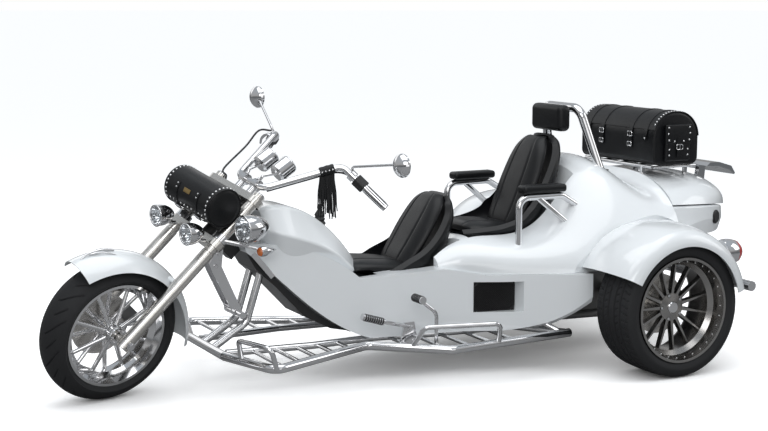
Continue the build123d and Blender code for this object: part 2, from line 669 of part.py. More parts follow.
with BuildPart() as lamp_lenses:
    add(headlamp_lens)
    add(spot_lens)
    mirror(about=Plane.XZ)
on_fork(lamp_lenses, "lamp_lenses")

BAG_R = 88.0
BAG_HALF = 178.0
BAG_T = 690.0
BAG_EDGE = 14.0
bag_p = LEG_TUBE_R + SEAT_GAP + BAG_R
bag_at = (bag_p * sin(RAKE) - BAG_T * cos(RAKE), 0, bag_p * cos(RAKE) + BAG_T * sin(RAKE))
with BuildPart() as fork_bag:
    with BuildSketch(Plane(origin=bag_at, x_dir=(1, 0, 0), z_dir=(0, 1, 0))):
        Circle(BAG_R)
    extrude(amount=BAG_HALF, both=True)
    fillet(fork_bag.edges(), BAG_EDGE)
on_fork(fork_bag, "fork_bag")

# Fixed pieces, placed ahead of the rear axle: main frame with the steering head
SEAM_Z = 464.0
FLOOR_Z = 204.0
RAIL_H = 44.0
RAIL_W = 50.0
RAIL_Y = 110.0
RAIL_FROM = -300.0
RAIL_TO = ahead(1240.0)
head_from = LOWER_YOKE_T + YOKE_DEPTH + MOVING_GAP
head_to = UPPER_YOKE_T - MOVING_GAP
head_plane = Plane(origin=(WHEELBASE, 0, front_axle_z), x_dir=fork_out, z_dir=fork_up)
NECK_BACK = 150.0
NECK_W = 70.0
with BuildPart() as steering_head:
    with BuildSketch(head_plane.offset(head_from)):
        with Locations((-FORK_OFFSET, 0)):
            Circle(HEAD_TUBE_R)
        with Locations((-FORK_OFFSET - NECK_BACK / 2, 0)):
            Rectangle(NECK_BACK, NECK_W)
    extrude(amount=head_to - head_from)
    with BuildSketch(head_plane.offset(head_from)):
        with Locations((-FORK_OFFSET, 0)):
            Circle(STEM_R + RUNNING)
    extrude(amount=head_to - head_from, mode=Mode.SUBTRACT)

# Tank: ahead, then half width and height of each corner from the bottom up
TANK_CORNER = 40.0
tank_rows = [
    (1752, (60, 640), (96, 700), (62, 788)),
    (1690, (120, 575), (165, 690), (96, 812)),
    (1590, (140, 528), (190, 660), (110, 792)),
    (1455, (140, 498), (192, 600), (100, 712)),
    (1340, (110, 438), (160, 510), (80, 598)),
    (1288, (80, 428), (120, 480), (60, 530)),
]
tank_solid = loft_body(tank_rows, TANK_CORNER)

# Front seat and rear seat: side outlines of shell, cushion and back pad
SEAT_HALF = 215.0
PAD_HALF = 168.0
SHELL_CORNER = 12.0
PAD_CORNER = 14.0
PAD_EDGE = 12.0
front_shell_line = [
    (1338, 500), (1340, 440), (1260, 388), (1166, 364), (1050, 378), (940, 440), (830, 560), (772, 752),
    (796, 804),
    (846, 780), (1000, 520), (1110, 462),
]
front_cushion_line = [(1336, 520), (1262, 534), (1062, 506), (1030, 440), (1310, 440)]
front_back_line = [(1052, 512), (860, 800), (818, 806), (792, 776), (960, 470), (1018, 446)]
rear_shell_line = [
    (770, 640), (772, 612), (600, 592), (400, 574), (300, 600), (215, 760), (160, 1010),
    (190, 1064), (240, 1050),
    (420, 680), (560, 640),
]
rear_cushion_line = [(716, 650), (640, 668), (462, 634), (424, 600), (700, 606)]
rear_back_line = [(452, 642), (268, 1052), (226, 1062), (190, 1030), (330, 690), (410, 608)]
seats = {
    "front": (front_shell_line, front_cushion_line, front_back_line),
    "rear": (rear_shell_line, rear_cushion_line, rear_back_line),
}
seat_blocks = []
for row, (shell_line, cushion_line, back_line) in seats.items():
    block = slab(shell_line, SEAT_HALF, corner=SHELL_CORNER)
    cushion = slab(cushion_line, PAD_HALF, corner=PAD_CORNER)
    back = slab(back_line, PAD_HALF, corner=PAD_CORNER)
    seat_blocks.append(slab(shell_line, SEAT_HALF, grown=SEAT_GAP, corner=SHELL_CORNER))
    seat_blocks.append(slab(cushion_line, PAD_HALF, grown=SEAT_GAP, corner=PAD_CORNER))
    seat_blocks.append(slab(back_line, PAD_HALF, grown=SEAT_GAP, corner=PAD_CORNER))
    with BuildPart() as shell:
        add(block)
        with BuildSketch(SIDE):
            for line in (cushion_line, back_line):
                with BuildLine():
                    Polyline(*placed(line), close=True)
                make_face()
        extrude(amount=PAD_HALF + SEAT_GAP, both=True, mode=Mode.SUBTRACT)
    on_body(shell, f"{row}_seat_shell")
    for pad_block, label in ((cushion, "cushion"), (back, "back")):
        with BuildPart() as pad:
            add(pad_block)
            flanks = pad.faces().sort_by(Axis.Y)
            fillet(flanks[0].edges() + flanks[-1].edges(), PAD_EDGE)
        on_body(pad, f"{row}_seat_{label}")

# Rear body: ledge, flanks and deck around the rear seat, then the tail under the lid
ARCH_R = 402.0
ARCH_Y = 505.0
LID_FROM = -205.0
deck_base = SEAM_Z + PANEL_GAP
deck_rows = [
    (955, 556, (258, deck_base), (250, 520), (200, 546)),
    (740, 628, (362, deck_base), (336, 560), (250, 612)),
    (520, 628, (455, deck_base), (400, 570), (300, 612)),
    (330, 740, (522, deck_base), (452, 610), (330, 700)),
    (150, 945, (556, deck_base), (470, 700), (262, 895)),
    (20, 946, (556, deck_base), (480, 730), (262, 898)),
    (LID_FROM, 884, (540, deck_base), (478, 745), (268, 862)),
]
deck_solid = crowned_body(deck_rows)

# Lower body: smooth side, plan and front outlines cut each other
TUB_HALF = 560.0
TUB_SILL = 305.0
tub_nose = placed([(1838, 612), (1680, 470), (1528, 331), (1420, 256), (1302, FLOOR_Z)])
tub_back = placed([(488, FLOOR_Z), (300, 330), (300, SEAM_Z), (760, SEAM_Z), (960, 500), (1345, 480)])
tub_top = placed([(1345, 480), (1455, 560), (1700, 640), (1850, 648)])
tub_flank = placed([
    (1850, 112), (1528, 182), (1302, 250), (1000, 300), (850, 326), (700, 392), (540, 452),
    (318, 550), (290, 556),
])
tub_far_flank = [(x, -y) for x, y in tub_flank]
with BuildPart() as tub:
    with BuildSketch(SIDE):
        with BuildLine():
            Spline(*tub_nose)
            Polyline(tub_nose[-1], *tub_back)
            Spline(*tub_top)
            Line(tub_top[-1], tub_nose[0])
        make_face()
    extrude(amount=TUB_HALF, both=True)
    with BuildSketch(Plane.XY):
        with BuildLine():
            Spline(*tub_flank)
            Line(tub_flank[-1], tub_far_flank[-1])
            Spline(*reversed(tub_far_flank))
            Line(tub_far_flank[0], tub_flank[0])
        make_face()
    extrude(amount=WHEELBASE, mode=Mode.INTERSECT)
    with BuildSketch(Plane.YZ):
        with BuildLine():
            ThreePointArc((TUB_SILL, FLOOR_Z), (500, 262), (TUB_HALF, 390))
            Polyline((TUB_HALF, 390), (TUB_HALF, 700), (-TUB_HALF, 700), (-TUB_HALF, 390))
            ThreePointArc((-TUB_HALF, 390), (-500, 262), (-TUB_SILL, FLOOR_Z))
            Line((-TUB_SILL, FLOOR_Z), (TUB_SILL, FLOOR_Z))
        make_face()
    extrude(amount=WHEELBASE, mode=Mode.INTERSECT)
tub_block = tub.part

GRILLE_PLAN = placed([(812, 331), (612, 364)])
GRILLE_MOUTH = placed([(560, 600), (860, 600)])
GRILLE_Z = (292.0, 432.0)
GRILLE_T = 8.0
with BuildPart() as grille_pocket:
    with BuildSketch(Plane.XY.offset(GRILLE_Z[0])):
        with BuildLine():
            Polyline(*GRILLE_PLAN, *GRILLE_MOUTH, close=True)
        make_face()
    extrude(amount=GRILLE_Z[1] - GRILLE_Z[0])
    mirror(about=Plane.XZ)
pocket = grille_pocket.part
with BuildPart() as side_grilles:
    with BuildSketch(Plane.XY.offset(GRILLE_Z[0] + SEAT_GAP)):
        with BuildLine():
            (x0, y0), (x1, y1) = GRILLE_PLAN
            Polyline((x0, y0 + SEAT_GAP), (x1, y1 + SEAT_GAP), (x1 + 1, y1 + GRILLE_T),
                     (x0 - 24, y0 + GRILLE_T), close=True)
        make_face()
    extrude(amount=GRILLE_Z[1] - GRILLE_Z[0] - 2 * SEAT_GAP)
    mirror(about=Plane.XZ)
on_body(side_grilles, "side_grilles")

with BuildPart() as body_tub:
    add(tub_block)
    add(seat_blocks, mode=Mode.SUBTRACT)
    add(tank_solid, mode=Mode.SUBTRACT)
    add(pocket, mode=Mode.SUBTRACT)
    add(deck_solid, mode=Mode.SUBTRACT)
on_body(body_tub, "body_tub")
with BuildPart() as tank:
    add(tank_solid)
    add(seat_blocks, mode=Mode.SUBTRACT)
on_body(tank, "tank")

tail_rows = [
    (LID_FROM, (505, 570), (490, 650), (478, 736)),
    (-430, (455, 588), (470, 660), (462, 728)),
    (-600, (350, 600), (372, 650), (366, 708)),
    (-642, (280, 625), (300, 655), (296, 696)),
]
TRUNK_CORNER = 40.0
TRUNK_CUT = 400.0
BAY_BELOW = 20.0
ARCH_CUT = 200.0
TAIL_CORNER = 12.0
tail_solid = loft_body(tail_rows, TAIL_CORNER)
TRUNK = ((-590.0, -225.0), 320.0, 615.0)
ENGINE_BAY = ((-240.0, 300.0), 430.0, 600.0)
with BuildPart() as rear_body:
    add(deck_solid)
    for block in seat_blocks:
        add(block, mode=Mode.SUBTRACT)
    add(tail_solid)
    (back, front), half, base = TRUNK
    with BuildSketch(Plane.XY.offset(base)):
        with Locations(((back + front) / 2, 0)):
            RectangleRounded(front - back, half * 2, TRUNK_CORNER)
    extrude(amount=TRUNK_CUT, mode=Mode.SUBTRACT)
    (back, front), half, top = ENGINE_BAY
    with BuildSketch(Plane.XY.offset(SEAM_Z - BAY_BELOW)):
        with Locations(((back + front) / 2, 0)):
            Rectangle(front - back, half * 2)
    extrude(amount=top - SEAM_Z + BAY_BELOW, mode=Mode.SUBTRACT)
    for sign in SIDES.values():
        with BuildSketch(Plane(origin=(0, sign * ARCH_Y, REAR_TYRE_R), z_dir=(0, sign, 0))):
            Circle(ARCH_R)
        extrude(amount=ARCH_CUT, mode=Mode.SUBTRACT)
on_body(rear_body, "rear_body")

# Lid over the luggage space, hinged along its rear lower edge
HINGE_X = -664.0
HINGE_Z = 692.0
HINGE_PIN_R = 6.0
HINGE_EYE_R = 12.0
HINGE_EYE_Y = 201.0
HINGE_EYE_HALF = 15.0
HINGE_NECK = (16.0, 24.0)
HINGE_LEAF_Y = 172.0
HINGE_LEAF_HALF = 7.0
HINGE_LEAF_H = 48.0
HINGE_LEAF_DROP = 14.0
HINGE_LEAF_PAST = 10.0
HINGE_PIN_L = 48.0
LID_HOLLOW_Z = 700.0
LID_HOLLOW_H = 85.0
LID_HOLLOW_IN = 20.0
LID_HOLLOW_CORNER = 30.0
lid_rows = [
    (LID_FROM - MOVING_GAP, 884, (478, 743), (420, 800), (268, 862)),
    (-400, 872, (468, 736), (428, 794), (284, 850)),
    (-560, 854, (402, 722), (382, 778), (286, 830)),
    (-668, 768, (300, 706), (292, 734), (240, 756)),
]
lid_skin = crowned_body(lid_rows)
with BuildPart() as lid_hollow:
    with BuildSketch(Plane.XY.offset(LID_HOLLOW_Z)):
        with Locations(((TRUNK[0][0] + TRUNK[0][1]) / 2, 0)):
            hollow_long = TRUNK[0][1] - TRUNK[0][0] - LID_HOLLOW_IN
            RectangleRounded(hollow_long, TRUNK[1] * 2, LID_HOLLOW_CORNER)
    extrude(amount=LID_HOLLOW_H)
hollow = lid_hollow.part
with BuildPart() as trunk_lid:
    add(lid_skin)
    add(hollow, mode=Mode.SUBTRACT)
    for sign in SIDES.values():
        with BuildSketch(Plane(origin=(0, sign * HINGE_EYE_Y, 0), x_dir=(1, 0, 0), z_dir=(0, -1, 0))):
            with Locations((HINGE_X, HINGE_Z)):
                Circle(HINGE_EYE_R)
            with Locations((HINGE_X, HINGE_Z + HINGE_NECK[1] / 2)):
                Rectangle(*HINGE_NECK)
            with Locations((HINGE_X, HINGE_Z)):
                Circle(HINGE_PIN_R + RUNNING, mode=Mode.SUBTRACT)
        extrude(amount=HINGE_EYE_HALF, both=True)
on_body(trunk_lid, "trunk_lid")
TAIL_END_X = -642.0
with BuildPart() as lid_hinge:
    for sign in SIDES.values():
        with BuildSketch(Plane(origin=(0, sign * HINGE_LEAF_Y, 0), x_dir=(1, 0, 0), z_dir=(0, -1, 0))):
            leaf_from = HINGE_X - HINGE_LEAF_PAST
            with Locations(((leaf_from + TAIL_END_X) / 2, HINGE_Z - HINGE_LEAF_DROP)):
                Rectangle(TAIL_END_X - leaf_from, HINGE_LEAF_H)
        extrude(amount=HINGE_LEAF_HALF, both=True)
        with BuildSketch(Plane(origin=(HINGE_X, sign * HINGE_LEAF_Y, HINGE_Z), z_dir=(0, sign, 0))):
            Circle(HINGE_PIN_R)
        extrude(amount=HINGE_PIN_L)
on_body(lid_hinge, "lid_hinge")

# Luggage rack, roll bag and spoiler on the lid
RACK_Z = 904.0
RACK_R = 9.0
RACK_X = (-500.0, -236.0)
RACK_HALF = 280.0
RACK_SLAT_R = 7.0
RACK_SLAT_Y = 140.0
RACK_POST_Y = 200.0
RACK_POST_R = 12.0
RACK_POST_H = 80.0
rack_bars = [
    tube([(x, -RACK_HALF, RACK_Z), (x, RACK_HALF, RACK_Z)], RACK_R) for x in (*RACK_X, sum(RACK_X) / 2)
]
for y in (-RACK_HALF, -RACK_SLAT_Y, 0.0, RACK_SLAT_Y, RACK_HALF):
    rack_bars.append(tube([(RACK_X[0], y, RACK_Z), (RACK_X[1], y, RACK_Z)], RACK_SLAT_R))
for x in RACK_X:
    for y in (-RACK_POST_Y, RACK_POST_Y):
        rack_bars.append(tube([(x, y, RACK_Z), (x, y, RACK_Z - RACK_POST_H)], RACK_POST_R))
with BuildPart() as luggage_rack:
    add(rack_bars)
    add(lid_skin, mode=Mode.SUBTRACT)
on_body(luggage_rack, "luggage_rack")

REAR_BAG_X = (-497.0, -222.0)
REAR_BAG_TOP = 1174.0
REAR_BAG_HALF = 300.0
REAR_BAG_TOP_R = 128.0
REAR_BAG_FOOT_R = 36.0
bag_base = RACK_Z + RACK_R + SEAT_GAP
with BuildPart() as rear_bag:
    with BuildSketch(SIDE) as roll:
        with Locations((sum(REAR_BAG_X) / 2, (bag_base + REAR_BAG_TOP) / 2)):
            Rectangle(REAR_BAG_X[1] - REAR_BAG_X[0], REAR_BAG_TOP - bag_base)
        fillet(roll.vertices().group_by(Axis.Y)[-1], REAR_BAG_TOP_R)
        fillet(roll.vertices().group_by(Axis.Y)[0], REAR_BAG_FOOT_R)
    extrude(amount=REAR_BAG_HALF, both=True)
    ends = rear_bag.faces().sort_by(Axis.Y)
    fillet(ends[0].edges() + ends[-1].edges(), BAG_EDGE)
on_body(rear_bag, "rear_bag")

SPOILER_HALF = 300.0
SPOILER_POST_HALF = 14.0
SPOILER_POST_Y = 220.0
wing_line = [
    (-560, 898), (-580, 914), (-640, 914), (-716, 892), (-TAIL_REACH, 856), (-736, 848),
    (-706, 872), (-636, 894),
]
wing = slab(wing_line, SPOILER_HALF)
posts = slab([(-552, 800), (-596, 800), (-606, 900), (-566, 900)], SPOILER_POST_HALF, SPOILER_POST_Y)
with BuildPart() as spoiler:
    add(posts)
    mirror(about=Plane.XZ)
    add(wing)
    add(lid_skin, mode=Mode.SUBTRACT)
on_body(spoiler, "spoiler")

# Rear fenders over the wheels
FENDER_REAR_FROM = 28.0
FENDER_REAR_TO = 168.0
FENDER_OUT_Y = 873.0
wall = 6.0
# Section of a fender: radius about the axle and distance out
ARCH_IN_R = 372.0
ARCH_CROWN = (390.0, 680.0)
ARCH_EDGE = (366.0, 826.0)
ARCH_TURN = (340.0, 860.0)
ARCH_LIP_R = 298.0
ARCH_TURN_IN = (337.0, 854.0)
ARCH_EDGE_IN = (360.0, 822.0)
ARCH_CORE_R = 10.0
with BuildPart() as one_fender:
    with BuildSketch(radial_plane((0, 0, REAR_TYRE_R), FENDER_REAR_FROM)):
        inner_y = ARCH_Y + SEAT_GAP
        with BuildLine():
            ThreePointArc((ARCH_IN_R, inner_y), ARCH_CROWN, ARCH_EDGE)
            ThreePointArc(ARCH_EDGE, ARCH_TURN, (ARCH_LIP_R, FENDER_OUT_Y))
            Line((ARCH_LIP_R, FENDER_OUT_Y), (ARCH_LIP_R, FENDER_OUT_Y - wall))
            ThreePointArc((ARCH_LIP_R, FENDER_OUT_Y - wall), ARCH_TURN_IN, ARCH_EDGE_IN)
            crown_in = (ARCH_CROWN[0] - wall, ARCH_CROWN[1])
            ThreePointArc(ARCH_EDGE_IN, crown_in, (ARCH_IN_R - wall, inner_y))
            Line((ARCH_IN_R - wall, inner_y), (ARCH_IN_R, inner_y))
        make_face()
    revolve(axis=Axis((0, 0, REAR_TYRE_R), (0, -1, 0)), revolution_arc=FENDER_REAR_TO - FENDER_REAR_FROM)
fender_solid = one_fender.part
POD_AT = (-318.0, 705.0, 540.0)
pod_line = [(0, 0), (58, 0), (62, 30), (50, 84), (0, 116)]
lamp_pod = spun(pod_line, Plane(origin=POD_AT, x_dir=(0, 1, 0), z_dir=(-1, 0, 0)), 1, 4)
with BuildPart() as fender_space:
    with BuildSketch(Plane(origin=(0, 0, REAR_TYRE_R), x_dir=(1, 0, 0), z_dir=(0, 0, 1))):
        with BuildLine():
            ThreePointArc((ARCH_IN_R, inner_y), ARCH_CROWN, ARCH_EDGE)
            ThreePointArc(ARCH_EDGE, ARCH_TURN, (ARCH_LIP_R, FENDER_OUT_Y))
            Polyline(
                (ARCH_LIP_R, FENDER_OUT_Y), (ARCH_CORE_R, FENDER_OUT_Y), (ARCH_CORE_R, inner_y), (ARCH_IN_R, inner_y)
            )
        make_face()
    revolve(axis=Axis((0, 0, REAR_TYRE_R), (0, 1, 0)))
fender_fill = fender_space.part
with BuildPart() as rear_fenders:
    add(fender_solid)
    mirror(about=Plane.XZ)
on_body(rear_fenders, "rear_fenders")
with BuildPart() as tail_lamps:
    add(lamp_pod)
    add(fender_fill, mode=Mode.SUBTRACT)
    mirror(about=Plane.XZ)
on_body(tail_lamps, "tail_lamps")

# Hoop, headrest and armrests
HOOP_R = 22.0
HOOP_BEND = 62.0
REST_LUG = (90.0, 40.0)
REST_LUG_DROP = 20.0
REST_CORNER = 32.0
HOOP_TOP = (112.0, 150.0, 1196.0)
HOOP_FOOT = (24.0, 222.0, 870.0)
hoop_line = [HOOP_FOOT, HOOP_TOP, *pair([HOOP_TOP, HOOP_FOOT])]
hoop_bar = tube(hoop_line, HOOP_R, HOOP_BEND)
HEADREST_X = (142.0, 214.0)
with BuildPart() as hoop:
    add(hoop_bar)
    add(deck_solid, mode=Mode.SUBTRACT)
    with BuildSketch(Plane(origin=(HOOP_TOP[0], 0, HOOP_TOP[2]), x_dir=(0, 1, 0), z_dir=(1, 0, 0))):
        with Locations((0, -REST_LUG_DROP)):
            Rectangle(*REST_LUG)
    extrude(amount=HEADREST_X[0] - HOOP_TOP[0] - SEAT_GAP)
on_body(hoop, "roll_hoop")
HEADREST_HALF = 130.0
REST_EDGE = 22.0
HEADREST_Z = (1082.0, 1212.0)
with BuildPart() as headrest:
    rest_at = (HEADREST_X[0], 0, sum(HEADREST_Z) / 2)
    with BuildSketch(Plane(origin=rest_at, x_dir=(0, 1, 0), z_dir=(1, 0, 0))):
        RectangleRounded(HEADREST_HALF * 2, HEADREST_Z[1] - HEADREST_Z[0], REST_CORNER)
    extrude(amount=HEADREST_X[1] - HEADREST_X[0])
    fillet(headrest.faces().sort_by(Axis.X)[-1].edges(), REST_EDGE)
on_body(headrest, "headrest")

ARM_R = 16.0
ARM_Y = 332.0
PAD_X = (ahead(312.0), ahead(552.0))
ARM_PAD_EDGE = 16.0
PAD_Z = (822.0, 862.0)
ARM_Z = PAD_Z[0] - ARM_R - SEAT_GAP
ARM_BEND = 52.0
ARM_BRACE_R = 14.0
ARM_PAD_IN = 14.0
ARM_PAD_W = 76.0
ARM_PAD_CORNER = 26.0
arm_line = [(569, ARM_Y, 540), (569, ARM_Y, ARM_Z), (330, ARM_Y, ARM_Z), (230, ARM_Y, ARM_Z - 60)]
arm_post = tube(placed(arm_line), ARM_R, ARM_BEND)
arm_brace = tube(placed([(470, ARM_Y, ARM_Z), (240, ARM_Y + 26, 620)]), ARM_BRACE_R)
with BuildPart() as armrest_frames:
    add(arm_post)
    add(arm_brace)
    mirror(about=Plane.XZ)
    add(deck_solid, mode=Mode.SUBTRACT)
on_body(armrest_frames, "armrest_frames")
with BuildPart() as armrest_pads:
    with BuildSketch(Plane.XY.offset(PAD_Z[0])):
        with Locations((sum(PAD_X) / 2, ARM_Y - ARM_PAD_IN), (sum(PAD_X) / 2, ARM_PAD_IN - ARM_Y)):
            RectangleRounded(PAD_X[1] - PAD_X[0], ARM_PAD_W, ARM_PAD_CORNER)
    extrude(amount=PAD_Z[1] - PAD_Z[0])
    fillet(armrest_pads.faces().group_by(Axis.Z)[-1].edges(), ARM_PAD_EDGE)
on_body(armrest_pads, "armrest_pads")

# Running gear and frame under the body
ENGINE_X = (-330.0, 270.0)
ENGINE_HALF = 220.0
ENGINE_TOP = 560.0
CROSS_W = 60.0
CROSS_MID = 400.0
with BuildPart() as engine_block:
    with BuildSketch(Plane.XY.offset(FLOOR_Z)):
        with Locations((sum(ENGINE_X) / 2, 0)):
            Rectangle(ENGINE_X[1] - ENGINE_X[0], ENGINE_HALF * 2)
    extrude(amount=ENGINE_TOP - FLOOR_Z)
on_body(engine_block, "engine_block")
with BuildPart() as frame_rails:
    for sign in SIDES.values():
        with BuildSketch(Plane.XY.offset(FLOOR_Z)):
            with Locations(((RAIL_FROM + RAIL_TO) / 2, sign * RAIL_Y)):
                Rectangle(RAIL_TO - RAIL_FROM, RAIL_W)
        extrude(amount=-RAIL_H)
    for x in (RAIL_FROM + CROSS_W, CROSS_MID, RAIL_TO - CROSS_W):
        with BuildSketch(Plane.XY.offset(FLOOR_Z)):
            with Locations((x, 0)):
                Rectangle(CROSS_W, RAIL_Y * 2)
        extrude(amount=-RAIL_H)
KNUCKLE_Y = (540.0, 636.0)
KNUCKLE_R = 58.0
HALF_SHAFT_R = 26.0
TRAILING_ARM_R = 20.0
STUB_SHORT = 8.0
arm_tube = tube([(380, 130, 182), (40, 560, 275)], TRAILING_ARM_R)
with BuildPart() as rear_axle:
    with BuildSketch(Plane(origin=(0, ENGINE_HALF + SEAT_GAP, REAR_TYRE_R), z_dir=(0, 1, 0))):
        Circle(HALF_SHAFT_R)
    extrude(amount=KNUCKLE_Y[0] - ENGINE_HALF)
    with BuildSketch(Plane(origin=(0, KNUCKLE_Y[0], REAR_TYRE_R), z_dir=(0, 1, 0))):
        Circle(KNUCKLE_R)
    extrude(amount=KNUCKLE_Y[1] - KNUCKLE_Y[0])
    with BuildSketch(Plane(origin=(0, KNUCKLE_Y[1], REAR_TYRE_R), z_dir=(0, 1, 0))):
        Circle(REAR_STUB_R)
    extrude(amount=REAR_WHEEL_Y + REAR_DISH_Y - STUB_SHORT - KNUCKLE_Y[1])
    add(arm_tube)
    add(frame_rails.part, mode=Mode.SUBTRACT)
    mirror(about=Plane.XZ)
on_body(rear_axle, "rear_axle")
BUMPER_X = -470.0
BUMPER_Z = 374.0
BUMPER_R = 24.0
BUMPER_HALF = 760.0
BUMPER_STAY_R = 16.0
BUMPER_STAY_Y = 150.0
rear_bumper_bars = [tube([(BUMPER_X, -BUMPER_HALF, BUMPER_Z), (BUMPER_X, BUMPER_HALF, BUMPER_Z)], BUMPER_R)]
for y in (-BUMPER_STAY_Y, BUMPER_STAY_Y):
    stay_line = [(ENGINE_X[0] - SEAT_GAP, y, BUMPER_Z), (BUMPER_X, y, BUMPER_Z)]
    rear_bumper_bars.append(tube(stay_line, BUMPER_STAY_R))
with BuildPart() as rear_bumper:
    add(rear_bumper_bars)
on_body(rear_bumper, "rear_bumper")

# Footboards: tube frames either side of the lower body, joined by the front bumper tube
BOARD_Z = 186.0
BOARD_R = 20.0
INNER_R = 16.0
RUNG_R = 9.0
BUMPER_FRONT = ahead(1988.0)
outer_line = placed([(1988, 215), (1890, 545), (1350, 310), (1050, 560), (390, 500)])
inner_line = placed([(1960, 160), (1560, 200), (1260, 180), (940, 235), (560, 255), (390, 500)])


def across(line, place):
    """Distance out from the middle at which a plan line passes a place ahead."""
    for (x0, y0), (x1, y1) in zip(line, line[1:]):
        if x1 <= place <= x0:
            return y0 + (y1 - y0) * (x0 - place) / (x0 - x1)
    raise ValueError("place outside the line")


GUARD_Z = 290.0
HOOP_WIRE_R = 11.0
HOOP_WIRE_BEND = 30.0
STRUT_R = 14.0
toe_hoop = [(1955, 330, BOARD_Z), (1990, 380, GUARD_Z), (1930, 590, GUARD_Z), (1885, 545, BOARD_Z)]
side_hoop = [(1190, 445, BOARD_Z), (1170, 520, GUARD_Z), (830, 600, GUARD_Z), (800, 540, BOARD_Z)]
board_bars = [
    tube([(x, y, BOARD_Z) for x, y in outer_line], BOARD_R, 45.0),
    tube([(x, y, BOARD_Z) for x, y in inner_line], INNER_R, 40.0),
    tube(placed(toe_hoop), HOOP_WIRE_R, HOOP_WIRE_BEND),
    tube(placed(side_hoop), HOOP_WIRE_R, HOOP_WIRE_BEND),
    tube(placed([(430, 494, BOARD_Z), (520, 400, 250)]), STRUT_R),
]
for place in map(ahead, (1840, 1740, 1640, 1540, 1440, 1180, 1060, 940, 820, 700)):
    y_in = across(inner_line, place)
    y_out = across(outer_line, place)
    board_bars.append(tube([(place, y_in, BOARD_Z), (place, y_out, BOARD_Z)], RUNG_R))
cross_bar = tube([(BUMPER_FRONT, -215, BOARD_Z), (BUMPER_FRONT, 215, BOARD_Z)], BOARD_R)
DOWN_R = 17.0
DOWN_BEND = 60.0
down_bars = []
for y in (-60, 60):
    down_bars.append(tube(placed([(1749, y, 520), (1822, y, 290), (1988, y, BOARD_Z)]), DOWN_R, DOWN_BEND))
belly_line = [
    (1838, 612), (1790, 530), (1700, 448), (1560, 300), (1430, 232), (1302, FLOOR_Z),
    (1430, 290), (1540, 370), (1690, 505),
]
belly_block = slab(belly_line, 104.0)
with BuildPart() as under_panel:
    add(belly_block)
    add(tub_block, mode=Mode.SUBTRACT)
belly = under_panel.part
on_body(under_panel, "under_panel")
with BuildPart() as front_bumper:
    add(cross_bar)
    add(down_bars)
    add(belly, mode=Mode.SUBTRACT)
    add(tub_block, mode=Mode.SUBTRACT)
on_body(front_bumper, "front_bumper")
with BuildPart() as board:
    add(board_bars)
    add(cross_bar, mode=Mode.SUBTRACT)
    add(tub_block, mode=Mode.SUBTRACT)
for side, sign in SIDES.items():
    turned = board.part if sign > 0 else board.part.mirror(Plane.XZ)
    write(turned.moved(BODY), f"footboard_{side}")
with BuildPart() as main_frame:
    add(frame_rails.part)
    add(steering_head.part)
    add(tub_block, mode=Mode.SUBTRACT)
    add(belly, mode=Mode.SUBTRACT)
    add(tank_solid, mode=Mode.SUBTRACT)
on_body(main_frame, "main_frame")

# Small fittings
BRACE_Y = NECK_W / 2 + SEAT_GAP
brace_line = [(1922, 628), (1948, 632), (1986, 566), (1968, 520), (1872, 322), (1832, 332), (1930, 548)]
brace_plate = slab(brace_line, 6.0, BRACE_Y + 6.0)
brace_pin = tube(placed([(1852, -96, 330), (1852, 96, 330)]), 15.0)
with BuildPart() as head_brace:
    add(brace_plate)
    mirror(about=Plane.XZ)
    add(brace_pin)
    add(down_bars, mode=Mode.SUBTRACT)
on_body(head_brace, "head_brace")

boot_rings = [(0, 560), (38, 560), (38, 640)]
for step in range(5):
    boot_rings += [(36 - 3 * step, 648 + 20 * step), (26 - 2 * step, 658 + 20 * step)]
boot_rings += [(9, 752), (9, 776), (0, 776)]
boot_solid = spun(boot_rings, Plane(origin=(ahead(1390), -92, 0), x_dir=(1, 0, 0), z_dir=(0, 0, 1)))
with BuildPart() as gear_boot:
    add(boot_solid)
    add(tank_solid, mode=Mode.SUBTRACT)
on_body(gear_boot, "gear_boot")

cap_plane = Plane(origin=(-503, 430, 664), x_dir=(0, 0, 1), z_dir=(-0.45, 0.89, 0))
cap_solid = spun([(0, -30), (34, -30), (34, 12), (28, 18), (0, 18)], cap_plane)
with BuildPart() as fuel_cap:
    add(cap_solid)
    add(tail_solid, mode=Mode.SUBTRACT)
on_body(fuel_cap, "fuel_cap")

HAND_BRAKE_Y = 366.0
hand_lever = tube(placed([(1150, HAND_BRAKE_Y, 262), (1290, HAND_BRAKE_Y, 298)]), 9.0)
hand_grip = tube(placed([(1290, HAND_BRAKE_Y, 298), (1400, HAND_BRAKE_Y, 332)]), 15.0)
hand_plate = slab([(1120, 180), (1210, 180), (1190, 286), (1140, 286)], 6.0, HAND_BRAKE_Y)
with BuildPart() as hand_brake:
    add(hand_lever)
    add(hand_grip)
    add(hand_plate)
    add(board.part, mode=Mode.SUBTRACT)

pedal_rod = tube(placed([(1060, 430, BOARD_Z), (1060, 430, 330), (1150, 430, 400)]), 9.0, 50.0)
pedal_pad = tube(placed([(1150, 385, 400), (1150, 470, 400)]), 17.0)
with BuildPart() as brake_pedal:
    add(pedal_rod)
    add(pedal_pad)
    add(board.part, mode=Mode.SUBTRACT)
with BuildPart() as board_controls:
    add(hand_brake.part)
    add(brake_pedal.part)
on_body(board_controls, "board_controls")

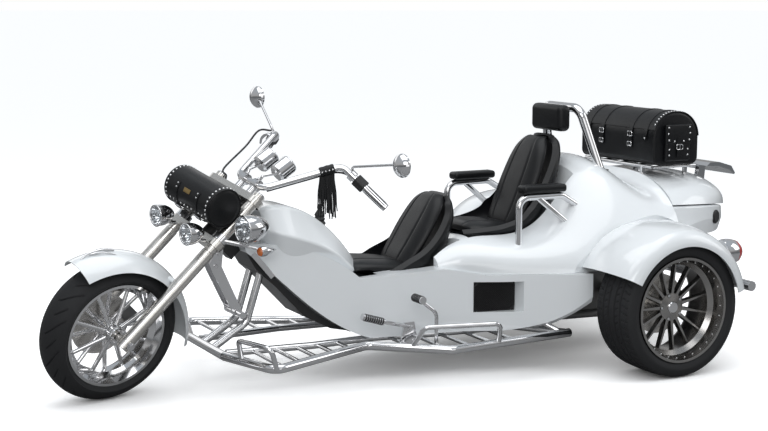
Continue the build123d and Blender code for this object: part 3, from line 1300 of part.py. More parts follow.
bar_run = (Vector(*BAR_BEND) - Vector(*BAR_RISE)).normalized()
FRINGE_LENGTH = 212.0
FRINGE_BACK = 70.0
WRAP_HALF = 34.0
WRAP_WALL = 8.0
WRAP_CUT_HALF = 40.0
FRINGE_FACE = (66.0, 14.0)
fringe_at = Vector(*BAR_BEND) - bar_run * FRINGE_BACK
hang = Vector(0, 0, -1).rotate(Axis((0, 0, 0), fork_up), -PARKED_STEER)
with BuildPart() as bar_fringe:
    with BuildSketch(Plane(origin=fringe_at - bar_run * WRAP_HALF, z_dir=bar_run)):
        Circle(BAR_R + WRAP_WALL)
    extrude(amount=WRAP_HALF * 2)
    with BuildSketch(Plane(origin=fringe_at, x_dir=bar_run - hang * bar_run.dot(hang), z_dir=hang)):
        Rectangle(*FRINGE_FACE)
    extrude(amount=FRINGE_LENGTH)
    with BuildSketch(Plane(origin=fringe_at - bar_run * WRAP_CUT_HALF, z_dir=bar_run)):
        Circle(BAR_R + SEAT_GAP)
    extrude(amount=WRAP_CUT_HALF * 2, mode=Mode.SUBTRACT)
on_fork(bar_fringe, "bar_fringe")

perch = along_grip(SWITCH_FROM - PERCH_BACK)
yoke_top = (-10 * sin(RAKE) - riser_foot * cos(RAKE), -112, -10 * cos(RAKE) + riser_foot * sin(RAKE))
hose_line = [
    (perch.X + 16, -perch.Y - 6, perch.Z + BAR_R + 14), (-812, -262, 660),
    (yoke_top[0] - 6, -112, yoke_top[2] + 30), yoke_top,
]
hose = tube(hose_line, 4.5, 40.0)
with BuildPart() as brake_hose:
    add(hose)
    add(fork_yokes.part, mode=Mode.SUBTRACT)
    add(mirrors.part, mode=Mode.SUBTRACT)
on_fork(brake_hose, "brake_hose")
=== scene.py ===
"""Looks of a three-wheeled motor trike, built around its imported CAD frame."""

import functools
import json
import logging
import math
from dataclasses import dataclass, field
from enum import Enum
from typing import Callable, Sequence

import bpy
import numpy as np
from mathutils import Matrix, Vector


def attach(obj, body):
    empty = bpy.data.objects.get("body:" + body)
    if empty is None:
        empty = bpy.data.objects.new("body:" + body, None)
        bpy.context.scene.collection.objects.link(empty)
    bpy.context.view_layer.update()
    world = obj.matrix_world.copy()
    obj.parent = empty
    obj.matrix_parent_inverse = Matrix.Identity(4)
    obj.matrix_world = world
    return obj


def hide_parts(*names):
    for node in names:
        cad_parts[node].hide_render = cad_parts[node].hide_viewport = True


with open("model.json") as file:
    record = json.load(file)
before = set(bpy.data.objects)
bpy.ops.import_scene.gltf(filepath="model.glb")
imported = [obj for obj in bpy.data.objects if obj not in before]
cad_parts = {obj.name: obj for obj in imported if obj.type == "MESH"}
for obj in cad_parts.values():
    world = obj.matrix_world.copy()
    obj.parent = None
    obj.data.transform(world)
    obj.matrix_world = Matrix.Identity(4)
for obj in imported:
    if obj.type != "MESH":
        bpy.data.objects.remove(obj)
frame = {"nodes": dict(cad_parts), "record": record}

LOG = logging.getLogger("trike")
MM = 0.001
Point = Sequence[float]
AHEAD, LEFT, UP = Vector((1, 0, 0)), Vector((0, 1, 0)), Vector((0, 0, 1))
SIDES = (-1, 1)


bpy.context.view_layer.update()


@dataclass(frozen=True)
class Chassis:
    """Sizes in millimetres that place the axles and the steering axis in the shared frame."""

    wheelbase: float = 2440.0
    rake: float = math.radians(43.9)
    parked_steer: float = math.radians(18.2)
    fork_offset: float = 50.0
    front_radius: float = 315.0
    front_crown: float = 95.0
    rear_radius: float = 316.0
    rear_track_half: float = 717.0
    tail_reach: float = 741.0

    @property
    def fork_up(self) -> Vector:
        """Direction of the steering axis."""
        return Vector((-math.cos(self.rake), 0.0, math.sin(self.rake)))

    @property
    def fork_out(self) -> Vector:
        """Direction square to the steering axis, towards the front."""
        return Vector((math.sin(self.rake), 0.0, math.cos(self.rake)))

    def axle_place(self) -> tuple[float, float]:
        """Find the axles as the trike stands parked.

        Returns:
            Place of the rear axle along X, and the height of the front axle when it points ahead.
        """
        lean = math.asin(math.sin(self.parked_steer) * math.cos(self.rake))
        swing = self.fork_offset * (1 - math.cos(self.parked_steer))
        core = self.front_radius - self.front_crown
        height = core * math.cos(lean) + self.front_crown + swing * math.cos(self.rake)
        toe = math.sin(self.parked_steer) * math.sin(self.rake)
        ahead = self.wheelbase - swing * math.sin(self.rake)
        reach = ahead + core * math.sqrt(1 - toe * toe) + self.front_crown
        return -(reach - self.tail_reach) / 2, height

    def body_matrix(self) -> Matrix:
        """Map places ahead of the rear axle, in millimetres, to the shared frame.

        Returns:
            The matrix, in metres.
        """
        return Matrix.Scale(MM, 4) @ Matrix.Translation((self.axle_place()[0], 0, 0))

    def fork_matrix(self) -> Matrix:
        """Map places about the front axle, drawn straight ahead, to the parked shared frame.

        Returns:
            The matrix, in metres.
        """
        rear, height = self.axle_place()
        axle = Vector((rear + self.wheelbase, 0, height))
        foot = axle - self.fork_out * self.fork_offset
        turn = Matrix.Rotation(self.parked_steer, 4, self.fork_up)
        about = Matrix.Translation(foot) @ turn @ Matrix.Translation(-foot)
        return Matrix.Scale(MM, 4) @ about @ Matrix.Translation(axle)

    def on_fork(self, up: float, out: float, across: float) -> Vector:
        """Find a place along the fork.

        Args:
            up: Distance up the fork from the axle.
            out: Distance ahead of the legs' plane.
            across: Distance to the left.

        Returns:
            The place about the front axle.
        """
        return self.fork_up * up + self.fork_out * out + Vector((0, across, 0))


CHASSIS = Chassis()


class Datum(Enum):
    """The two drawing frames of the tables."""

    BODY = "body"
    FORK = "fork"

    @property
    def matrix(self) -> Matrix:
        """The map from this frame to the shared frame."""
        return CHASSIS.body_matrix() if self is Datum.BODY else CHASSIS.fork_matrix()


@dataclass(frozen=True)
class Home:
    """The frame in which a piece is drawn, and the CAD body that carries it."""

    datum: Datum
    body: str


ON_CHASSIS = Home(Datum.BODY, "chassis")
ON_LID = Home(Datum.BODY, "lid")
ON_FORK = Home(Datum.FORK, "steering")
ON_FRONT_WHEEL = Home(Datum.FORK, "front_wheel")


def noise(*seed: float) -> float:
    """Hash a seed to a repeatable value, for small irregularities.

    Args:
        seed: Any numbers.

    Returns:
        A value from -1 to 1.
    """
    weights, gain = (12.9898, 78.233, 37.719, 4.581), 43758.5453
    total = sum(value * weight for value, weight in zip(seed, weights))
    return 2.0 * (math.sin(total) * gain % 1.0) - 1.0


def around(count: int) -> list[tuple[float, float]]:
    """Divide a turn evenly.

    Args:
        count: Number of steps.

    Returns:
        Cosine and sine of each step.
    """
    turns = [2 * math.pi * index / count for index in range(count)]
    return [(math.cos(angle), math.sin(angle)) for angle in turns]


def smooth(low: float, high: float, value: np.ndarray | float) -> np.ndarray | float:
    """Ease from 0 at low to 1 at high.

    Args:
        low: Where the ramp starts.
        high: Where the ramp ends.
        value: What is eased.

    Returns:
        The eased value or array.
    """
    share = np.clip((value - low) / (high - low), 0.0, 1.0)
    return share * share * (3.0 - 2.0 * share)


def spline(knots: Sequence[Point], count: int) -> np.ndarray:
    """Run a smooth curve through knots.

    Args:
        knots: Rows of coordinates or sizes.
        count: Number of points wanted.

    Returns:
        Points on a Catmull-Rom curve, spaced evenly by arc length.
    """
    fine_steps = 24
    rows = np.array(knots, float)
    ends = np.vstack([2 * rows[0] - rows[1], rows, 2 * rows[-1] - rows[-2]])
    fine = []
    for a, b, c, d in zip(ends, ends[1:], ends[2:], ends[3:]):
        t = np.linspace(0, 1, fine_steps, endpoint=False)[:, None]
        fine.append(0.5 * (2 * b + (c - a) * t + (2 * a - 5 * b + 4 * c - d) * t**2
                           + (3 * b - a - 3 * c + d) * t**3))
    curve = np.vstack([*fine, rows[-1:]])
    run = np.concatenate([[0], np.cumsum(np.linalg.norm(np.diff(curve, axis=0), axis=1))])
    want = np.linspace(0, run[-1], count)
    return np.stack([np.interp(want, run, column) for column in curve.T], axis=1)


class Shape:
    """Vertices and faces in millimetres that become one piece."""

    tip_radius = 0.01
    sharp_angle = math.radians(38)

    def __init__(self) -> None:
        self.points: list[tuple[float, float, float]] = []
        self.faces: list[tuple[int, ...]] = []

    def grid(self, rows: np.ndarray, wrap_rows: bool = False, wrap_cols: bool = False) -> int:
        """Add a sheet of quads.

        Args:
            rows: Points in an array of rows, columns and coordinates.
            wrap_rows: Whether the last row joins the first.
            wrap_cols: Whether the last column joins the first.

        Returns:
            Index of the sheet's first vertex.
        """
        high, wide = rows.shape[:2]
        base = len(self.points)
        self.points.extend(map(tuple, rows.reshape(-1, 3)))
        for i in range(high if wrap_rows else high - 1):
            for j in range(wide if wrap_cols else wide - 1):
                k, m = (i + 1) % high, (j + 1) % wide
                near, far = base + i * wide, base + k * wide
                self.faces.append((near + j, near + m, far + m, far + j))
        return base

    def skin(self, rings: np.ndarray) -> "Shape":
        """Add closed rings joined in order, with both ends capped.

        Args:
            rings: Points in an array of rings, points and coordinates.

        Returns:
            This shape.
        """
        count = rings.shape[1]
        base = self.grid(rings, wrap_cols=True)
        last = base + (len(rings) - 1) * count
        self.faces += [tuple(range(base, base + count))[::-1], tuple(range(last, last + count))]
        return self

    def lathe(self, profile: Sequence[Point], at: Point, axis: Point, steps: int = 40) -> "Shape":
        """Turn a profile about an axis.

        Args:
            profile: Pairs of radius and length along the axis.
            at: The axis's origin.
            axis: The axis's direction.
            steps: Number of steps round.

        Returns:
            This shape.
        """
        way = Vector(axis).normalized()
        side = way.orthogonal().normalized()
        other = way.cross(side)
        turn = np.linspace(0, 2 * math.pi, steps, endpoint=False)
        ring = np.cos(turn)[:, None] * np.array(side) + np.sin(turn)[:, None] * np.array(other)
        origin, along = np.array(at), np.array(way)
        rows = [origin + along * length + ring * max(radius, self.tip_radius) for radius, length in profile]
        return self.skin(np.array(rows))

    def rod(self, path: Sequence[Point], radius: float | Sequence[float], sides: int = 12) -> "Shape":
        """Add a round bar along a path.

        Args:
            path: Points that the bar follows.
            radius: One radius, or one for each point.
            sides: Number of sides of its section.

        Returns:
            This shape.
        """
        sizes = np.broadcast_to(np.array(radius, float), len(path))
        turn = np.linspace(0, 2 * math.pi, sides, endpoint=False)
        round_section = np.stack([np.cos(turn), np.sin(turn)], axis=1)
        return self.sweep(path, [round_section * size for size in sizes])

    def sweep(self, path: Sequence[Point], sections: Sequence[np.ndarray],
              up: Point | None = None) -> "Shape":
        """Carry flat sections along a path.

        Args:
            path: Points that the sections follow.
            sections: One array of side and height pairs for each point.
            up: Direction of the sections' height at the start.

        Returns:
            This shape.
        """
        points = [Vector(p) for p in path]
        ways = [(b - a).normalized() for a, b in zip(points, points[1:])]
        ways = [ways[0], *[(a + b).normalized() for a, b in zip(ways, ways[1:])], ways[-1]]
        lift = Vector(up) if up is not None else ways[0].orthogonal()
        rings = []
        for point, way, section in zip(points, ways, sections):
            lift = (lift - way * lift.dot(way)).normalized()
            side = way.cross(lift)
            flat = section[:, :1] * np.array(side)
            rings.append(np.array(point) + flat + section[:, 1:] * np.array(lift))
        return self.skin(np.array(rings))

    def strap(self, path: Sequence[Point], up: Point, width: float, thick: float) -> "Shape":
        """Add a flat band along a path.

        Args:
            path: Points that the band's middle follows.
            up: Direction of the band's face at the start.
            width: Width of the band.
            thick: Thickness of the band.

        Returns:
            This shape.
        """
        w, t = width / 2, thick / 2
        cut_share = 0.6
        edge = min(t, w) * cut_share
        section = np.array([(-w, -t + edge), (-w + edge, -t), (w - edge, -t), (w, -t + edge),
                            (w, t - edge), (w - edge, t), (-w + edge, t), (-w, t - edge)])
        return self.sweep(path, [section] * len(path), up)

    def dome(self, at: Point, way: Point, radius: float, height: float, steps: int = 10) -> "Shape":
        """Add a rivet's head.

        Args:
            at: Middle of its base.
            way: Direction of its top.
            radius: Radius of its base.
            height: Height of its top.
            steps: Number of steps round.

        Returns:
            This shape.
        """
        arc = [(radius * math.cos(a), height * math.sin(a)) for a in np.linspace(0, math.pi / 2, 5)]
        return self.lathe([(radius, -1.0), *arc], at, way, steps)

    def hex_bolt(self, at: Point, way: Point, across: float, height: float) -> "Shape":
        """Add a hexagon head on a washer.

        Args:
            at: Middle of the seat.
            way: Direction of the head.
            across: Size across the corners.
            height: Height of the head.

        Returns:
            This shape.
        """
        r = across / 2
        self.lathe([(r * 1.25, -1.0), (r * 1.25, height * 0.22), (r, height * 0.24)], at, way, 20)
        return self.lathe([(r, height * 0.2), (r, height * 0.88), (r * 0.86, height)], at, way, 6)

    def block(self, at: Point, axes: Sequence[Point], size: Point, edge: float, steps: int = 3) -> "Shape":
        """Add a box with rounded edges.

        Args:
            at: Its middle.
            axes: Its three directions.
            size: Its three lengths.
            edge: Radius of its edges.
            steps: Steps of each rounded corner.

        Returns:
            This shape.
        """
        half = [value / 2 for value in size]
        rings = []
        right_angle = math.pi / 2
        for sign, start, stop in ((-1, -right_angle, 0), (1, 0, right_angle)):
            for angle in np.linspace(start, stop, steps):
                shrink = edge * (1 - math.cos(angle))
                level = sign * (half[2] - edge) + edge * math.sin(angle)
                ring = []
                for corner, (sx, sy) in enumerate(((1, 1), (-1, 1), (-1, -1), (1, -1))):
                    for part in np.linspace(0, right_angle, steps):
                        spin = corner * math.pi / 2 + part
                        ring.append((sx * (half[0] - edge) + (edge - shrink) * math.cos(spin),
                                     sy * (half[1] - edge) + (edge - shrink) * math.sin(spin), level))
                rings.append(ring)
        frame_axes = np.array([Vector(a).normalized() for a in axes])
        return self.skin(np.array(rings) @ frame_axes + np.array(at))

    def mirrored(self) -> "Shape":
        """Add the same form on the other side of the middle plane.

        Returns:
            This shape.
        """
        base = len(self.points)
        self.points.extend([(x, -y, z) for x, y, z in self.points])
        self.faces.extend([tuple(base + i for i in reversed(f)) for f in list(self.faces)])
        return self

    def make(self, name: str, home: Home, finish: "Finish", replaces: Sequence[str] = (),
             slotted: bool = True) -> bpy.types.Object:
        """Turn the shape into a piece that rides on a body.

        Args:
            name: The piece's name.
            home: Where it was drawn, and what carries it.
            finish: What it is made of.
            replaces: CAD nodes that it stands for.
            slotted: Not used.

        Returns:
            The new object.
        """
        mesh = bpy.data.meshes.new(name)
        mesh.from_pydata(self.points, [], self.faces)
        mesh.transform(home.datum.matrix)
        mesh.validate()
        mesh.materials.append(finish.material())
        piece = bpy.data.objects.new(name, mesh)
        bpy.context.scene.collection.objects.link(piece)
        mesh.shade_smooth()
        mesh.set_sharp_from_angle(angle=self.sharp_angle)
        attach(piece, home.body)
        if replaces:
            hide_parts(*replaces)
        return piece


class Wiring:
    """Nodes of one shader tree by short names, with their sockets written as "node.socket"."""

    def __init__(self, tree: bpy.types.NodeTree, kinds: dict[str, str]) -> None:
        self.tree = tree
        self.nodes = {name: tree.nodes.new(f"ShaderNode{kind}") for name, kind in kinds.items()}

    def socket(self, text: str, side: str) -> bpy.types.NodeSocket:
        """Find a socket.

        Args:
            text: A node's short name, a dot, and the socket's name or number.
            side: Either "inputs" or "outputs".

        Returns:
            The socket.
        """
        name, key = text.split(".")
        return getattr(self.nodes[name], side)[int(key) if key.isdigit() else key]

    def preset(self, values: dict[str, float | tuple[float, ...]]) -> None:
        """Set inputs.

        Args:
            values: Their values by socket.
        """
        for text, value in values.items():
            self.socket(text, "inputs").default_value = value

    def join(self, *pairs: tuple[str, str]) -> None:
        """Link outputs to inputs.

        Args:
            pairs: The sockets at both ends of each link.
        """
        for start, stop in pairs:
            self.tree.links.new(self.socket(start, "outputs"), self.socket(stop, "inputs"))


class Effects:
    """Shared shader node groups, each giving a normal and a roughness."""

    outputs = (("Normal", "NodeSocketVector"), ("Roughness", "NodeSocketFloat"))

    @classmethod
    def group(cls, name: str, inputs: dict[str, float], kinds: dict[str, str]) -> Wiring:
        """Start a node group.

        Args:
            name: The group's name.
            inputs: Defaults of its number inputs by name.
            kinds: Types of its nodes by short name.

        Returns:
            Its nodes, with "into" and "out" for its own sockets.
        """
        tree = bpy.data.node_groups.new(name, "ShaderNodeTree")
        for label, default in inputs.items():
            made = tree.interface.new_socket(label, in_out="INPUT", socket_type="NodeSocketFloat")
            made.default_value = default
        for label, kind in cls.outputs:
            tree.interface.new_socket(label, in_out="OUTPUT", socket_type=kind)
        wiring = Wiring(tree, kinds)
        wiring.nodes["into"] = tree.nodes.new("NodeGroupInput")
        wiring.nodes["out"] = tree.nodes.new("NodeGroupOutput")
        return wiring

    @classmethod
    @functools.cache
    def grain(cls) -> bpy.types.NodeTree:
        """Pebbled grain of leather and moulded rubber.

        Returns:
            The group.
        """
        made = cls.group(
            "grain", {"Scale": 420.0, "Depth": 0.2, "Roughness": 0.45},
            {"place": "TexCoord", "cells": "TexVoronoi", "cloud": "TexNoise", "bump": "Bump",
             "spread": "Math", "shift": "Math"})
        made.nodes["cells"].feature = "DISTANCE_TO_EDGE"
        made.nodes["spread"].operation = "MULTIPLY_ADD"
        made.nodes["shift"].operation = "SUBTRACT"
        made.preset({"cloud.Scale": 9.0, "cloud.Detail": 5.0, "bump.Distance": 0.0012, "spread.1": 0.22,
                     "shift.1": 0.11})
        made.join(("place.Object", "cells.Vector"), ("place.Object", "cloud.Vector"),
                  ("into.Scale", "cells.Scale"), ("cells.Distance", "bump.Height"),
                  ("into.Depth", "bump.Strength"), ("into.Roughness", "shift.0"), ("cloud.Fac", "spread.0"),
                  ("shift.0", "spread.2"), ("bump.Normal", "out.Normal"), ("spread.0", "out.Roughness"))
        return made.tree

    @classmethod
    @functools.cache
    def wear(cls) -> bpy.types.NodeTree:
        """Faint uneven polish, with an optional shallow waviness.

        Returns:
            The group.
        """
        made = cls.group(
            "wear", {"Scale": 14.0, "Depth": 0.02, "Roughness": 0.1, "Spread": 0.06},
            {"place": "TexCoord", "cloud": "TexNoise", "bump": "Bump", "add": "Math"})
        made.nodes["add"].operation = "MULTIPLY_ADD"
        made.preset({"cloud.Detail": 4.0, "bump.Distance": 0.002})
        made.join(("place.Object", "cloud.Vector"), ("into.Scale", "cloud.Scale"),
                  ("cloud.Fac", "bump.Height"), ("into.Depth", "bump.Strength"), ("cloud.Fac", "add.0"),
                  ("into.Spread", "add.1"), ("into.Roughness", "add.2"), ("bump.Normal", "out.Normal"),
                  ("add.0", "out.Roughness"))
        return made.tree


class Surface(Enum):
    """Which shared effect a finish uses."""

    GRAIN = "grain"
    WEAR = "wear"


@dataclass(frozen=True)
class Finish:
    """One material, told by what it is made of, and the record's slot that it fills."""

    name: str
    colour: tuple[float, float, float]
    roughness: float
    slot: str | None = None
    metallic: float = 0.0
    coat: float = 0.0
    clear: float = 0.0
    surface: Surface = Surface.WEAR
    scale: float = 14.0
    depth: float = 0.02
    spread: float = 0.05
    specular: float = 0.5
    coat_roughness: float = 0.03

    @functools.cache
    def material(self) -> bpy.types.Material:
        """Make the material once.

        Returns:
            The material.
        """
        made = bpy.data.materials.new(self.name)
        made.use_nodes = True
        nodes = made.node_tree.nodes
        shader = nodes["Principled BSDF"]
        effect = nodes.new("ShaderNodeGroup")
        effect.node_tree = Effects.grain() if self.surface is Surface.GRAIN else Effects.wear()
        looks = {"Base Color": (*self.colour, 1.0), "Metallic": self.metallic, "Coat Weight": self.coat,
                 "Coat Roughness": self.coat_roughness, "Specular IOR Level": self.specular,
                 "Transmission Weight": self.clear}
        relief = {"Scale": self.scale, "Depth": self.depth, "Roughness": self.roughness,
                  "Spread": self.spread}
        for node, values in ((shader, looks), (effect, relief)):
            for label, value in values.items():
                if label in node.inputs:
                    node.inputs[label].default_value = value
        for label, _ in Effects.outputs:
            made.node_tree.links.new(effect.outputs[label], shader.inputs[label])
        return made


WHITE = Finish("pearl_white", (0.82, 0.85, 0.87), 0.24, "white_paint", coat=1.0, scale=5.0, depth=0.0,
               spread=0.04)
CHROME = Finish("polished_chrome", (0.74, 0.74, 0.75), 0.05, "chrome", metallic=1.0, depth=0.004, spread=0.05)
SATIN = Finish("satin_chrome", (0.66, 0.64, 0.61), 0.2, "satin_steel", metallic=1.0, scale=30.0, depth=0.01,
               spread=0.1)
LEATHER = Finish("grained_leather", (0.005, 0.0055, 0.0065), 0.36, "black_leather", surface=Surface.GRAIN,
                 scale=480.0, depth=0.16, specular=0.32)
VINYL = Finish("smooth_vinyl", (0.004, 0.0045, 0.0055), 0.32, "black_vinyl", surface=Surface.GRAIN,
               scale=700.0, depth=0.06, specular=0.34)
POWDER = Finish("black_powder_coat", (0.014, 0.014, 0.015), 0.36, "black_steel", scale=160.0, depth=0.05)
CAST = Finish("cast_alloy", (0.24, 0.24, 0.24), 0.42, "cast_metal", metallic=0.9, scale=120.0, depth=0.12)
RUBBER = Finish("worn_tyre_rubber", (0.02, 0.0205, 0.022), 0.66, "tyre_rubber", surface=Surface.GRAIN,
                scale=900.0, depth=0.12, specular=0.3)
GUNMETAL = Finish("gunmetal", (0.36, 0.35, 0.34), 0.2, "rim_grey", metallic=1.0, coat=0.35, scale=40.0,
                  depth=0.006)
GLASS = Finish("lamp_glass", (0.95, 0.97, 0.98), 0.02, "lens_glass", clear=1.0, depth=0.0, spread=0.0)
MESH = Finish("painted_mesh", (0.006, 0.006, 0.007), 0.5, "black_mesh", scale=200.0, depth=0.05)
BLACK_RUBBER = Finish("moulded_rubber", (0.012, 0.012, 0.013), 0.5, "black_rubber", surface=Surface.GRAIN,
                      scale=800.0, depth=0.1)
RED_LENS = Finish("red_lens", (0.5, 0.012, 0.01), 0.08, coat=1.0, depth=0.0)
AMBER_LENS = Finish("amber_lens", (0.7, 0.16, 0.02), 0.08, coat=1.0, depth=0.0)
BRASS = Finish("aged_brass", (0.38, 0.27, 0.12), 0.3, metallic=1.0, depth=0.03)
DIAL = Finish("dial_face", (0.75, 0.75, 0.73), 0.5, depth=0.0)
MIRROR = Finish("mirror_glass", (0.85, 0.86, 0.87), 0.01, metallic=1.0, depth=0.0, spread=0.0)
FLOOR = Finish("pale_floor", (0.82, 0.82, 0.82), 0.9, depth=0.0, spread=0.0, specular=0.1)

SLOT_FINISH = {finish.slot: finish for finish in (
    WHITE, CHROME, SATIN, LEATHER, VINYL, POWDER, CAST, RUBBER, GUNMETAL, GLASS, MESH, BLACK_RUBBER)}


class FrameDressing:
    """Finishes for every CAD node, taken from the record's slots."""

    def dress(self) -> None:
        """Give each CAD node the finish of its slot."""
        for entry in frame["record"]["subparts"]:
            node = frame["nodes"][entry["node"]]
            slot = entry["material_slot"]
            node.data.materials.clear()
            node.data.materials.append(SLOT_FINISH[slot].material())


@dataclass
class Tyre:
    """A tyre about its wheel's axis, with its tread cut into the mesh."""

    radius: float
    half: float
    tread_half: float
    crown: float
    bead_radius: float
    bead_half: float
    steps: int
    groove: Callable[[np.ndarray, np.ndarray], np.ndarray]
    tread_columns: int = 63
    wall_rows: int = 14
    groove_past: float = 6.0
    groove_drop: float = 0.62

    def outline(self) -> np.ndarray:
        """Profile of the tyre from bead to bead.

        Returns:
            Rows of radius and distance across.
        """
        core = self.radius - self.crown
        edge = core + math.sqrt(self.crown**2 - self.tread_half**2)
        across = np.linspace(-self.tread_half, self.tread_half, self.tread_columns)
        tread = np.stack([core + np.sqrt(self.crown**2 - across**2), across], axis=1)
        shoulder = self.tread_half + (self.half - self.tread_half) * 0.45
        wall = spline([(edge, self.tread_half), (edge - 6, shoulder),
                       ((edge + self.bead_radius) / 2 + 8, self.half - 1),
                       (self.bead_radius + 34, self.half - 4),
                       (self.bead_radius + 20, (self.half + self.bead_half) / 2),
                       (self.bead_radius + 16, self.bead_half)], self.wall_rows)
        bead = np.array([(self.bead_radius + 1, self.bead_half - 1)])
        right = np.vstack([wall[1:], bead])
        left = right[::-1] * (1, -1)
        return np.vstack([left, tread, right])

    def shape(self, at: Point, sign: float = 1.0) -> Shape:
        """Build the tyre.

        Args:
            at: The wheel's middle.
            sign: 1, or -1 to turn the tread's pattern round.

        Returns:
            The tyre's shape.
        """
        outline = self.outline()
        turn = np.linspace(0, 2 * math.pi, self.steps, endpoint=False)
        spin, across = np.meshgrid(turn, outline[:, 1] * sign, indexing="ij")
        outer = outline[:, 0] > self.radius - self.crown * self.groove_drop
        inside = (np.abs(across) < self.tread_half + self.groove_past) & outer
        radius = outline[:, 0] - np.where(inside, self.groove(spin, across), 0.0)
        width = np.broadcast_to(outline[:, 1], radius.shape)
        rows = np.stack([np.cos(spin) * radius, width, np.sin(spin) * radius], axis=2)
        made = Shape()
        made.grid(rows + np.array(at), wrap_rows=True, wrap_cols=True)
        return made


def off_line(spin: np.ndarray, pitch: float, radius: float) -> tuple[np.ndarray, np.ndarray]:
    """Measure how far places on a tread are from the nearest of its repeated lines.

    Args:
        spin: Angle round the wheel, less the line's own slant.
        pitch: Angle between lines.
        radius: Mean radius of the tread.

    Returns:
        Distance from the nearest line, and that line's number.
    """
    phase = spin / pitch
    return np.abs(phase - np.round(phase)) * pitch * radius, np.round(phase)


def front_groove(spin: np.ndarray, across: np.ndarray) -> np.ndarray:
    """Long curved rain grooves, set alternately on both sides.

    Args:
        spin: Angle round the wheel.
        across: Distance across the tread.

    Returns:
        Depth of the groove.
    """
    half_width, count, ease, deepest = 82.0, 26, 0.06, 6.0
    pitch = 2 * math.pi / count
    reach = np.abs(across) / half_width
    bend = 0.34 * reach**1.7 + np.where(across > 0, 0.5 * pitch, 0.0)
    near, number = off_line(spin - bend, pitch, 300.0)
    odd = np.mod(number, 2.0)
    low, high = 0.12 + 0.2 * odd, 0.96 - 0.14 * odd
    span = smooth(low, low + ease, reach) * (1 - smooth(high - ease, high, reach))
    return deepest * (1 - smooth(2.4, 4.8, near)) * span


def rear_groove(spin: np.ndarray, across: np.ndarray) -> np.ndarray:
    """Four straight grooves and slanted shoulder slots.

    Args:
        spin: Angle round the wheel.
        across: Distance across the tread.

    Returns:
        Depth of the groove.
    """
    straight_depth, slot_depth, slots = 6.5, 4.5, 60
    depth = np.zeros_like(across)
    for middle in (-62.0, -21.0, 21.0, 62.0):
        depth = np.maximum(depth, straight_depth * (1 - smooth(3.2, 5.0, np.abs(across - middle))))
    for low, high, slant in ((72.0, 118.0, 0.05), (28.0, 50.0, -0.08)):
        near, _ = off_line(spin + slant * across / 50.0, 2 * math.pi / slots, 314.0)
        band = smooth(low, low + 4, np.abs(across)) * (1 - smooth(high - 3, high, np.abs(across)))
        depth = np.maximum(depth, slot_depth * (1 - smooth(1.4, 3.0, near)) * band)
    return depth


class Wheels:
    """Treaded tyres, with the bolts, caps and rim rivets of the rear wheels."""

    front = Tyre(radius=CHASSIS.front_radius, half=90.0, tread_half=82.0, crown=CHASSIS.front_crown,
                 bead_radius=216.0, bead_half=59.0, steps=720, groove=front_groove)
    rear = Tyre(radius=CHASSIS.rear_radius, half=131.0, tread_half=109.0, crown=1400.0,
                bead_radius=229.0, bead_half=111.0, steps=480, groove=rear_groove)
    lugs, lug_circle, lug_out = 5, 56, 20
    rivets, rivet_circle, rivet_out = 30, 222.5, 110.5

    def build(self) -> None:
        """Build the wheels' visual pieces."""
        self.front.shape((0, 0, 0)).make("front_tyre_tread", ON_FRONT_WHEEL, RUBBER, ("front_tyre",))
        for side, sign in (("left", 1), ("right", -1)):
            home = Home(Datum.BODY, f"rear_wheel_{side}")
            hub = Vector((0, sign * CHASSIS.rear_track_half, CHASSIS.rear_radius))
            tyre = self.rear.shape(hub, sign)
            tyre.make(f"rear_tyre_tread_{side}", home, RUBBER, (f"rear_tyre_{side}",))
            out = LEFT * sign
            bolts = Shape()
            for x, z in around(self.lugs):
                at = Vector((self.lug_circle * x, sign * self.lug_out, self.lug_circle * z))
                bolts.hex_bolt(hub + at, out, 17, 18)
            bolts.lathe([(27, 41), (27, 47), (24, 50), (0, 51)], hub, out, 32)
            for x, z in around(self.rivets):
                at = Vector((self.rivet_circle * x, sign * self.rivet_out, self.rivet_circle * z))
                bolts.dome(hub + at, out, 3.4, 2.6)
            bolts.make(f"rear_wheel_bolts_{side}", home, CHROME)


@dataclass
class SeatForm:
    """Side lines of one bucket seat: places ahead, heights, half widths and, for the shell, wings."""

    name: str
    cushion: Sequence[Point]
    back: Sequence[Point]
    shell: Sequence[Point]


def side_frame(run: np.ndarray, up_at: int) -> tuple[np.ndarray, np.ndarray]:
    """Find where a side line runs and which way is square to it.

    Args:
        run: Rows that start with a place ahead and a height.
        up_at: A row whose normal points up.

    Returns:
        The line's places, and its unit normals.
    """
    middle = run[:, :2]
    way = np.gradient(middle, axis=0)
    way /= np.linalg.norm(way, axis=1)[:, None]
    normal = np.stack([-way[:, 1], way[:, 0]], axis=1)
    return middle, -normal if normal[up_at, 1] < 0 else normal


def raised(middle: np.ndarray, normal: np.ndarray, height: np.ndarray, across: np.ndarray) -> np.ndarray:
    """Stand a sheet of points off a side line.

    Args:
        middle: The line's places.
        normal: The line's unit normals.
        height: Distance of each point from the line, in rows and columns.
        across: Distance of each point to the left, in the same order.

    Returns:
        Points in an array of rows, columns and coordinates.
    """
    place = middle[:, None, :] + normal[:, None, :] * height[:, :, None]
    return np.stack([place[:, :, 0], across, place[:, :, 1]], axis=2)


